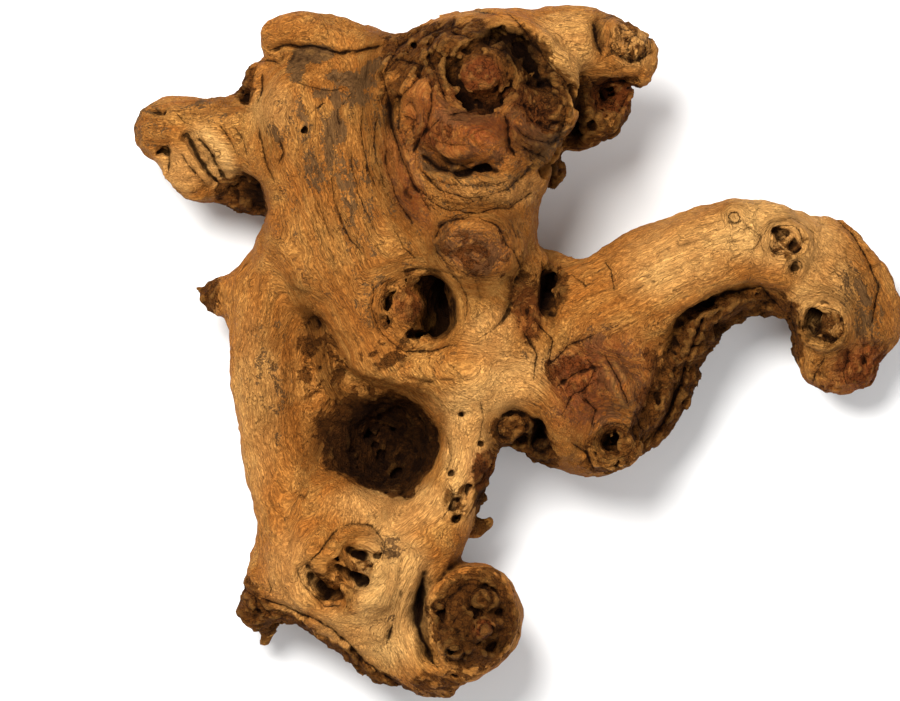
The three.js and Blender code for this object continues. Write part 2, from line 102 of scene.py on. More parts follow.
class Volume:  # a block of signed distances, negative in the wood
    def __init__(self, obj):
        points, triangles = readMesh(obj)
        room = wood["margin"]
        self.low = np.floor((points.min(0) - room) / cell) * cell
        self.count = np.ceil((points.max(0) + room - self.low) / cell).astype(int) + 1
        transform = vdb.createLinearTransform(voxelSize=cell)
        grid = vdb.FloatGrid.createLevelSetFromPolygons(
            points.astype(np.float32), triangles=triangles.astype(np.uint32),
            transform=transform, halfWidth=5.0)
        self.values = np.zeros(self.count, np.float32)
        self.first = tuple(int(v) for v in np.round(self.low / cell))
        grid.copyToArray(self.values, ijk=self.first)

    def block(self, low, high):
        a = np.clip(np.floor((low - self.low) / cell).astype(int), 0, self.count)
        b = np.clip(np.ceil((high - self.low) / cell).astype(int) + 1, 0, self.count)
        axes = [self.low[i] + np.arange(a[i], b[i]) * cell for i in range(3)]
        x, y, z = (axes[0][:, None, None], axes[1][None, :, None], axes[2][None, None, :])
        return self.values[a[0]:b[0], a[1]:b[1], a[2]:b[2]], x, y, z

    def top(self, x, y):  # height of the wood above a point of the plan
        px, py = plan([x, y, 0])[:2]
        i, j = int(round((px - self.low[0]) / cell)), int(round((py - self.low[1]) / cell))
        inside = np.nonzero(self.values[i, j] < 0)[0]
        return self.low[2] + (inside[-1] + 0.5) * cell if len(inside) else wood["offEdge"]

    def polygons(self):
        grid = vdb.FloatGrid(4.0)
        grid.transform = vdb.createLinearTransform(voxelSize=cell)
        grid.copyFromArray(np.clip(self.values, -4, 4), ijk=self.first)
        grid.gridClass = vdb.GridClass.LEVEL_SET
        return grid.convertToPolygons(0.0, 0.0)


def readMesh(obj):
    mesh = obj.data
    points = np.empty(len(mesh.vertices) * 3)
    mesh.vertices.foreach_get("co", points)
    mesh.calc_loop_triangles()
    triangles = np.empty(len(mesh.loop_triangles) * 3, np.int64)
    mesh.loop_triangles.foreach_get("vertices", triangles)
    return points.reshape(-1, 3) * 1000, triangles.reshape(-1, 3)


def blur(values, sigma):  # rounds a volume off, one axis after another
    reach = int(math.ceil(2.5 * sigma))
    weights = np.exp(-0.5 * (np.arange(-reach, reach + 1) / sigma) ** 2)
    weights /= weights.sum()
    for axis in range(3):
        padding = [(reach, reach) if i == axis else (0, 0) for i in range(3)]
        padded = np.pad(values, padding, mode="edge")
        total = np.zeros_like(values)
        for k, weight in enumerate(weights):
            part = [slice(None)] * 3
            part[axis] = slice(k, k + values.shape[axis])
            total += np.float32(weight) * padded[tuple(part)]
        values = total
    return values


def smoothMin(a, b, width):
    near = np.maximum(0, width - np.abs(a - b)) / width
    return np.minimum(a, b) - near * near * width / 4


def chainDistance(x, y, z, stations, tall):  # distance from tapered round segments, made taller
    best = None
    for (ax, ay, az, ar), (bx, by, bz, br) in zip(stations[:-1], stations[1:]):
        ex, ey, ez = bx - ax, by - ay, bz - az
        length = ex * ex + ey * ey + ez * ez + 1e-9
        t = np.clip(((x - ax) * ex + (y - ay) * ey + (z - az) * ez) / length, 0, 1)
        d = np.sqrt((x - ax - t * ex) ** 2 + (y - ay - t * ey) ** 2
                    + ((z - az - t * ez) / tall) ** 2) - ar - t * (br - ar)
        best = d if best is None else np.minimum(best, d)
    return best


class Noise:  # smooth random values; a number added to the place reads another part of them
    def __init__(self, seed):
        self.table = (np.random.default_rng(seed).random((32, 32, 32)) * 2 - 1).astype(np.float32)

    def __call__(self, p):
        base = np.floor(p)
        f = (p - base).astype(np.float32)
        f = f * f * (3 - 2 * f)
        i = base.astype(np.int64) & 31
        j = (i + 1) & 31
        fx, fy, fz = f[:, 0], f[:, 1], f[:, 2]
        t = self.table

        def line(a, b):
            near = t[i[:, 0], a, b]
            return near + fx * (t[j[:, 0], a, b] - near)

        low = line(i[:, 1], i[:, 2])
        low += fy * (line(j[:, 1], i[:, 2]) - low)
        high = line(i[:, 1], j[:, 2])
        high += fy * (line(j[:, 1], j[:, 2]) - high)
        return low + fz * (high - low)

    def layers(self, p, length, octaves, gain=0.5):
        total, height = 0, 1.0
        for octave in range(octaves):
            total = total + height * self(p * (2.03 ** octave / length) + 5.7 * octave)
            height *= gain
        return total


def step01(low, high, value):
    t = np.clip((value - low) / (high - low), 0, 1)
    return t * t * (3 - 2 * t)


noise = Noise(wood["seed"])

# Grain

# Axes of the limbs, along which the fibres run, as plan stations [x, y, z, radius].
limbAxes = [
    [[-60, 124, 52, 18], [-64, 90, 52, 27], [-60, 60, 52, 31], [-52, 36, 50, 31],
     [-40, 14, 50, 29], [-26, -4, 48, 24]],
    [[-34, 40, 54, 28], [-20, 22, 50, 28], [-4, 4, 48, 24], [20, -14, 44, 24]],
    [[-72, 44, 46, 17], [-89, 24, 42, 14], [-95, -4, 36, 14], [-92, -34, 34, 13],
     [-84, -60, 36, 14], [-78, -84, 38, 18]],
    [[-98, 118, 56, 8], [-79, 118, 60, 11], [-58, 108, 60, 13]],
    [[-102, 101, 48, 9], [-78, 101, 52, 12], [-60, 90, 54, 15]],
    [[-146, 82, 36, 13], [-118, 80, 38, 14], [-96, 78, 46, 15], [-76, 66, 50, 18]],
    [[-20, -4, 50, 18], [-16, -24, 52, 12], [-19, -44, 50, 12], [-27, -60, 48, 13],
     [-44, -78, 44, 20], [-52, -100, 38, 22], [-46, -124, 32, 17]],
    [[-62, -50, 42, 18], [-66, -82, 40, 24], [-96, -96, 28, 10]],
    [[-10, -4, 48, 22], [14, 6, 46, 24], [38, 17, 46, 22], [60, 28, 46, 23],
     [82, 36, 43, 21], [100, 34, 38, 20], [116, 25, 33, 18], [124, 8, 28, 18],
     [121, -14, 22, 17]],
    [[10, 0, 44, 22], [30, -20, 40, 26], [36, -44, 36, 20]],
    [[40, 6, 42, 20], [56, -8, 38, 20], [44, -36, 36, 16]],
    [[-6, 128, 66, 12], [14, 115, 66, 15], [34, 114, 62, 14], [54, 108, 55, 11]],
    [[8, 96, 50, 14], [26, 92, 46, 18], [44, 94, 44, 12]],
    [[-30, 124, 66, 20], [-46, 96, 66, 14], [-42, 66, 68, 14], [-24, 44, 68, 16], [-4, 34, 62, 16]],
]
# Round places with rings about them: plan x, y, z, radius, and how strongly they turn the grain.
ringPlaces = [
    [-12, 103, 90, 15], [-38, 16, 70, 14], [-17, -102, 56, 23], [102, 41, 54, 8],
    [105, 31.5, 52, 4], [116.5, 9.5, 45, 10], [82, 50, 56, 4], [37, -34, 55, 12],
    [-1, -28.5, 52, 9], [9.5, -35, 46, 6], [13.5, 92, 84, 10], [-40.5, 86, 84, 7],
    [-14, 38, 88, 13], [40, 116, 66, 10], [-12.5, -93, 66, 5], [-11, -104.5, 67, 4.5],
    [-22.5, -113, 62, 5], [-58, -79, 60, 8], [-72, -88, 58, 9],
]

grainUnit = 11  # millimetres along a limb that count as one unit of grain
limbBlend = 2.6  # how far limbs share their grain where they meet
ringEdge = (0.7, 1.6)  # where rings start and end to fade, as a share of their radius


def limbGrain(points, number, stations):  # distance from one limb, and its grain
    path = np.array([[*plan(s[:3]), s[3]] for s in stations])
    best = np.full(len(points), 1e9)
    along, side, rise = (np.zeros(len(points)) for _ in range(3))
    travelled = 0.0
    for a, b in zip(path[:-1], path[1:]):
        e = b[:3] - a[:3]
        length = np.linalg.norm(e)
        t = ((points - a[:3]) @ e) / length ** 2
        ct = np.clip(t, 0, 1)
        away = np.linalg.norm(points - a[:3] - ct[:, None] * e, axis=1)
        d = away - a[3] - ct * (b[3] - a[3])
        closer = d < best
        best = np.where(closer, d, best)
        flatSide = np.array([e[1], -e[0]]) / (np.hypot(e[0], e[1]) + 1e-9)
        along = np.where(closer, travelled + ct * length, along)
        side = np.where(closer, (points[:, :2] - a[:2]) @ flatSide, side)
        rise = np.where(closer, points[:, 2] - a[2] - ct * e[2], rise)
        travelled += length
    return best, np.stack([side, rise, along / grainUnit + 2.3 * number], 1)


def withRings(points, grain):  # turns the grain round the ring places
    for px, py, pz, radius in ringPlaces:
        dx, dy, dz = (points - plan([px, py, pz])).T
        around = np.hypot(dx, dy)
        apart = np.sqrt(around ** 2 + (0.6 * dz) ** 2)
        if not (apart < ringEdge[1] * radius).any():
            continue
        share = 1 - step01(ringEdge[0] * radius, ringEdge[1] * radius, apart)
        middle = grain[np.argmin(apart)]
        angle = np.arctan2(dy, dx)
        turn = radius / grainUnit
        ring = middle + np.stack([around + 0.5 * dz, turn * np.cos(angle), turn * np.sin(angle)], 1)
        grain = grain + share[:, None] * (ring - grain)
    return grain


def grainAt(points):  # two coordinates across the grain and one along it
    total, weightSum = 0, 0
    for number, stations in enumerate(limbAxes):
        distance, grain = limbGrain(points, number, stations)
        weight = np.exp(-np.clip(distance, -14, 60) / limbBlend)
        total = total + weight[:, None] * grain
        weightSum = weightSum + weight
    return withRings(points, total / weightSum[:, None])


def readLattice(values, low, spacing, points):  # values between the points of a lattice
    p = (points - low) / spacing
    i = np.clip(np.floor(p).astype(int), 0, np.array(values.shape[:3]) - 2)
    f = np.clip(p - i, 0, 1).astype(np.float32)
    total = 0
    for dx in (0, 1):
        for dy in (0, 1):
            for dz in (0, 1):
                share = ((f[:, 0] if dx else 1 - f[:, 0]) * (f[:, 1] if dy else 1 - f[:, 1])
                         * (f[:, 2] if dz else 1 - f[:, 2]))
                total = total + share[:, None] * values[i[:, 0] + dx, i[:, 1] + dy, i[:, 2] + dz]
    return total


class Coarse:  # a slowly changing quantity, kept on a wide lattice and read between its points
    def __init__(self, function, low, high, spacing):
        self.low, self.spacing = low, spacing
        self.count = np.ceil((high - low) / spacing).astype(int) + 2
        axes = [low[i] + np.arange(self.count[i]) * spacing for i in range(3)]
        grid = np.stack(np.meshgrid(*axes, indexing="ij"), -1).reshape(-1, 3)
        out = function(grid)
        self.values = out.reshape(*self.count, -1).astype(np.float32)

    def __call__(self, points):
        return readLattice(self.values, self.low, self.spacing, points)


# Places that differ from the smooth, pale sapwood

# Patches by kind: plan x, y, z, radii along x, y and z, turn in degrees, strength.
patches = {
    "dark": [  # heartwood and rot, and in some hollows painted shade
        [-36, 112, 80, 17, 12, 25, -30, 0.9], [-46, 100, 70, 8, 10, 20, 0, 0.6],
        [-20, 118, 92, 12, 9, 18, 0, 0.8], [-2, 110, 90, 14, 12, 20, 0, 1.0],
        [-12, 102, 92, 17, 15, 18, 0, 0.9], [11, 93, 84, 12, 12, 18, 0, 0.9],
        [-27, 99, 86, 6, 9, 14, 0, 0.85], [-31, 79, 92, 5, 4, 10, 0, 0.7],
        [2, 74, 92, 9, 7, 14, 0, 0.35], [-28, 80, 94, 12, 6, 12, 10, 0.6],
        [27, 92, 46, 20, 18, 26, 20, 0.85], [40, 98, 44, 12, 12, 20, 0, 0.7],
        [12, 68, 46, 9, 11, 18, 0, 1.0], [23, 88, 60, 6, 16, 20, 0, 0.8],
        [-15, 39, 84, 18, 12, 18, -15, 0.5], [-15, -101, 60, 17, 20, 26, 0, 1.0],
        [4, 18, 66, 7, 18, 18, 10, 0.7], [14, 24, 60, 6, 9, 16, 0, 0.8],
        [-38, 16, 72, 15, 15, 20, 0, 0.6], [-50, -2, 70, 10, 6, 12, 15, 0.5],
        [0, -30, 50, 12, 10, 20, 0, 0.8], [10, -36, 42, 9, 10, 20, 0, 0.95],
        [62, -14, 34, 12, 28, 26, -25, 0.95], [76, 9, 40, 13, 12, 40, -30, 1.0],
        [88, 14, 38, 17, 8.5, 40, 10, 1.0], [103, 5, 34, 6, 14, 34, 0, 0.95],
        [64, -2, 40, 7, 22, 40, -25, 0.9], [-22, 108, 90, 10, 12, 22, 0, 0.9],
        [6, 100, 88, 9, 14, 22, 0, 0.8], [20, -10, 62, 14, 10, 12, -20, 0.55],
        [36, -36, 50, 12, 12, 18, 0, 0.85], [46, -26, 46, 8, 16, 18, -20, 0.8],
        [52, -6, 50, 8, 16, 14, -25, 0.55], [-86, -103, 30, 14, 6, 20, -10, 0.95],
        [-66, -114, 30, 14, 7, 20, -40, 0.95], [-48, -127, 28, 14, 6, 20, -30, 0.9],
        [-102, -94, 26, 10, 10, 20, 0, 0.7], [-28, -126, 40, 12, 8, 20, 0, 0.7],
        [-94, 66, 32, 8, 12, 18, 0, 0.8], [130, -6, 24, 12, 10, 20, 0, 0.55],
        [114, -10, 22, 8, 10, 20, 0, 0.5], [116, 9, 46, 9, 9, 10, 0, 0.6],
        [102, 41, 56, 8, 8, 8, 0, 0.5], [-48, -36, 26, 30, 28, 22, 0, 0.95],
        [-72, 2, 36, 12, 24, 16, 0, 0.6], [-103, 58, 38, 11, 10, 18, 0, 1.0],
        [-93, 60, 36, 6, 12, 20, 0, 0.8], [-22, -56, 44, 7, 10, 20, 0, 0.6],
        [-12, -62, 36, 10, 8, 14, 0, 0.7], [-98, -98, 24, 14, 12, 18, 0, 0.6],
        [-70, -88, 60, 12, 7, 10, -35, 0.45], [-58, -79, 62, 9, 6, 8, -20, 0.4],
        [42, 116, 66, 11, 9, 10, -20, 0.5], [-101, 100, 44, 6, 10, 18, 0, 0.9],
        [-129, 60, 30, 5, 5, 10, 0, 0.5], [-102, 62, 34, 12, 6, 14, 0, 0.8],
        [-117, 21, 27, 10, 8, 12, 0, 0.9], [128, -2, 26, 13, 12, 26, 0, 0.42],
        [-11, -48, 42, 6, 14, 30, 0, 1.0],
    ],
    "weathered": [  # grey skin
        [-76, 111, 66, 9, 3.5, 16, 0, 1.0], [-82, 105, 62, 4, 6, 16, 0, 0.9],
        [-60, 101, 70, 11, 3.5, 16, -10, 1.0], [-51, 107, 72, 8, 3, 16, 25, 0.9],
        [-70, 96, 66, 7, 3, 16, 0, 0.8], [-61, 94, 70, 9, 3.5, 16, 0, 0.9],
        [-68, 83, 72, 6, 7, 16, 0, 0.9], [-72, 68, 72, 9, 10, 16, 0, 0.62],
        [-84, 82, 68, 9, 12, 18, 0, 0.35], [-137, 85, 40, 9, 10, 18, 0, 0.5],
        [-112, 90, 46, 16, 6, 16, -5, 0.5], [-66, 64, 70, 32, 50, 44, 0, 0.3],
        [-20, 74, 90, 34, 46, 40, 0, 0.34], [133, 10, 26, 8, 22, 24, 0, 0.5],
        [-14, 78, 92, 27, 20, 26, 0, 0.45], [-76, 122, 60, 20, 8, 20, 0, 0.12],
        [-18, 86, 98, 11, 3.5, 12, 0, 0.95], [-15, 39, 84, 16, 11, 18, -15, 0.85],
        [10, 82, 80, 11, 11, 20, 0, 0.85], [28, -10, 58, 26, 24, 18, 0, 0.55],
        [-44, 20, 66, 18, 18, 20, 0, 0.35], [0, -2, 58, 16, 12, 16, 0, 0.4],
        [126, 14, 34, 12, 26, 20, 0, 0.5], [-58, 54, 74, 8, 18, 14, 12, 0.45],
        [8, 90, 88, 10, 12, 14, 0, 0.6], [30, -14, 60, 18, 18, 14, 0, 0.5],
        [-92, -10, 46, 10, 30, 16, 0, 0.4], [-48, -74, 60, 8, 5, 8, 0, 0.6],
        [-50, -104, 56, 6, 9, 10, 0, 0.5],
    ],
    "red": [  # red wood
        [-14, 84, 94, 26, 16, 24, 0, 0.45], [-42, 66, 82, 7, 18, 16, 15, 0.55],
        [-34, 92, 92, 8, 10, 14, 0, 0.5], [-10, 82, 98, 10, 5, 10, 0, 0.8],
        [-13, 102, 98, 8, 7, 8, 0, 0.9], [36, 95, 52, 9, 8, 14, 0, 0.8],
        [22, -16, 62, 12, 16, 14, 0, 0.6], [24, -4, 60, 16, 7, 12, 15, 0.5],
        [-36, 55, 80, 5, 14, 16, 25, 0.5], [-11, 80.5, 96, 7, 2.6, 10, 18, 1.0],
        [120, -12, 22, 12, 8, 14, 0, 0.5], [128, -4, 26, 12, 12, 20, 0, 0.8],
        [32, -8, 58, 20, 20, 16, 0, 0.45], [-15, 39, 84, 15, 11, 16, -15, 0.35],
        [-22, 79, 94, 15, 7, 12, 0, 0.35], [-11, -104.5, 68, 5, 4, 5, 0, 0.9],
        [4, 14, 64, 6, 12, 14, 10, 0.5], [-40, 17, 78, 6, 6, 8, 0, 0.5],
        [-14, -44, 50, 6, 9, 20, 0, 0.6],
    ],
    "broken": [  # rough, chipped ends and rims
        [-10, -50, 40, 7, 14, 30, 0, 1.0], [-136, 78, 36, 12, 16, 18, 0, 0.7],
        [-120, 66, 34, 12, 12, 16, 0, 0.9], [-98, 116, 54, 8, 12, 18, 0, 0.7],
        [-102, 98, 44, 8, 10, 18, 0, 0.9], [50, 112, 56, 10, 14, 16, 0, 0.7],
        [40, 92, 44, 14, 16, 22, 0, 1.0], [130, 20, 30, 12, 34, 16, 0, 0.6],
        [128, -10, 22, 14, 12, 18, 0, 0.9], [84, 12, 28, 34, 14, 18, -10, 0.9],
        [58, -16, 32, 12, 30, 22, -25, 0.9], [36, -38, 40, 16, 16, 18, 0, 0.7],
        [-100, -96, 26, 16, 16, 18, 0, 0.9], [-80, -112, 20, 26, 12, 18, -30, 0.7],
        [-50, -128, 30, 20, 12, 18, 0, 0.5], [12, 66, 46, 10, 14, 18, 0, 0.9],
        [-22, 80, 90, 22, 10, 16, 10, 0.6], [-34, 112, 80, 20, 14, 20, -30, 0.7],
        [14, 74, 86, 14, 18, 18, 0, 0.6], [-117, 20, 27, 12, 12, 14, 0, 0.6],
        [-4, -58, 34, 12, 14, 18, 0, 0.7],
    ],
    "black": [  # deep shade and char
        [-14, -101, 62, 15, 18, 22, 0, 0.35], [-52, -40, 22, 34, 30, 20, 0, 0.95],
        [-46, -34, 34, 20, 16, 16, 0, 0.8], [-21, 98, 80, 5, 8, 14, 0, 1.0],
        [-12, 91.5, 80, 9, 4, 14, 0, 1.0], [1, 112, 76, 8.5, 7, 34, -30, 1.0],
        [-8, 117, 80, 9, 4, 26, 0, 0.8], [31, 117, 66, 2.6, 7, 16, 10, 0.85],
        [8.5, -33, 44, 4.5, 9, 26, 15, 0.85], [8, 100, 86, 6, 2.5, 14, 0, 0.9],
        [-27, 121, 82, 7, 3, 16, 20, 0.6], [-13, -49, 44, 3.5, 9, 24, 0, 0.7],
        [22, 88, 62, 4, 13, 20, 0, 0.9], [11, 69, 56, 5, 6, 16, 0, 0.8], [-96, 60, 30, 8, 8, 16, 0, 1.0],
        [-26, 15, 64, 6, 12, 16, 0, 0.95], [113, 8, 40, 4, 6, 8, 10, 0.8],
        [37, -35, 50, 4, 5, 8, 0, 0.6], [-35, -100, 50, 3, 16, 14, 0, 0.8],
        [90, 17, 24, 15, 8, 14, -10, 0.75], [72, 10, 26, 9, 14, 16, -30, 0.75],
        [60, -14, 26, 8, 22, 16, -25, 0.7], [101, 4, 22, 5, 12, 14, 0, 0.6],
        [-2, -44, 28, 8, 10, 14, 0, 0.5], [-101, 96, 40, 4, 5, 10, 0, 0.9],
    ],
    "pale": [  # worn clean and light, and partly painted light on the bridge, foot and arms
        [-5, -12, 58, 24, 12, 20, 20, 0.9], [-18, -38, 56, 9, 28, 20, 0, 0.8],
        [-44, -58, 50, 24, 9, 24, 0, 0.7], [-46, -92, 52, 14, 28, 30, 0, 1.0],
        [-62, -106, 44, 16, 8, 20, -30, 0.6], [-84, -84, 44, 10, 16, 24, 0, 0.5],
        [-10, 6, 64, 11, 12, 16, 0, 0.6], [62, 34, 44, 30, 16, 28, 25, 0.95],
        [98, 44, 48, 24, 14, 26, 0, 0.9], [116, 24, 44, 12, 20, 26, 0, 0.55],
        [18, 113, 84, 13, 15, 24, -20, 0.4], [-114, 73, 46, 8, 13, 24, 30, 0.95],
        [-127, 68, 40, 8, 10, 20, 30, 0.7], [-90, 90, 60, 10, 10, 20, 0, 0.4],
        [-6, 60, 84, 22, 6, 20, 0, 0.5], [-98, -20, 36, 10, 40, 24, 0, 0.4],
        [46, 116, 66, 12, 10, 16, 0, 0.45],
    ],
}
column = {kind: number for number, kind in enumerate(patches)}  # of what masksAt gives
patchEdge = (0.7, 1.3)  # where a patch starts and ends to fade, as a share of its radii
undersideHeights = (8, 30)  # below the first height the wood is made darker and rougher, not above the second: rough heartwood, and partly painted shade under the wood
underside = {"dark": 0.55, "broken": 0.5}


def masksAt(points):  # strength of each kind of place, one column each
    out = dict.fromkeys(patches, 0)
    for kind, rows in patches.items():
        for px, py, pz, rx, ry, rz, turn, strength in rows:
            a = math.radians(turn)
            dx, dy, dz = (points - plan([px, py, pz])).T
            u = (dx * math.cos(a) + dy * math.sin(a)) / rx
            v = (-dx * math.sin(a) + dy * math.cos(a)) / ry
            distance = np.sqrt(u * u + v * v + (dz / rz) ** 2)
            share = strength * (1 - step01(*patchEdge, distance))
            out[kind] = 1 - (1 - out[kind]) * (1 - share)
    # Darker, rougher underside: rough heartwood, and partly painted shade under the wood.
    under = 1 - step01(*undersideHeights, points[:, 2])
    for kind, strength in underside.items():
        out[kind] = 1 - (1 - out[kind]) * (1 - strength * under)
    return np.stack(list(out.values()), 1)


# Fine form

def cutChain(volume, stations, blend, tall):  # cuts a ragged hollow
    path = [[*plan(s[:3]), s[3]] for s in stations]
    array = np.array(path)
    room = array[:, 3:].max() * tall + blend + 2 * cell
    view, x, y, z = volume.block(array[:, :3].min(0) - room, array[:, :3].max(0) + room)
    d = chainDistance(x, y, z, path, tall).astype(np.float32)
    at = np.stack(np.broadcast_arrays(x, y, z), -1).reshape(-1, 3)
    d += wood["hollowEdge"] * (noise(at / 2.3) + 0.5 * noise(at / 1.2 + 5)).reshape(d.shape)
    view[...] = -smoothMin(-view, d, blend)


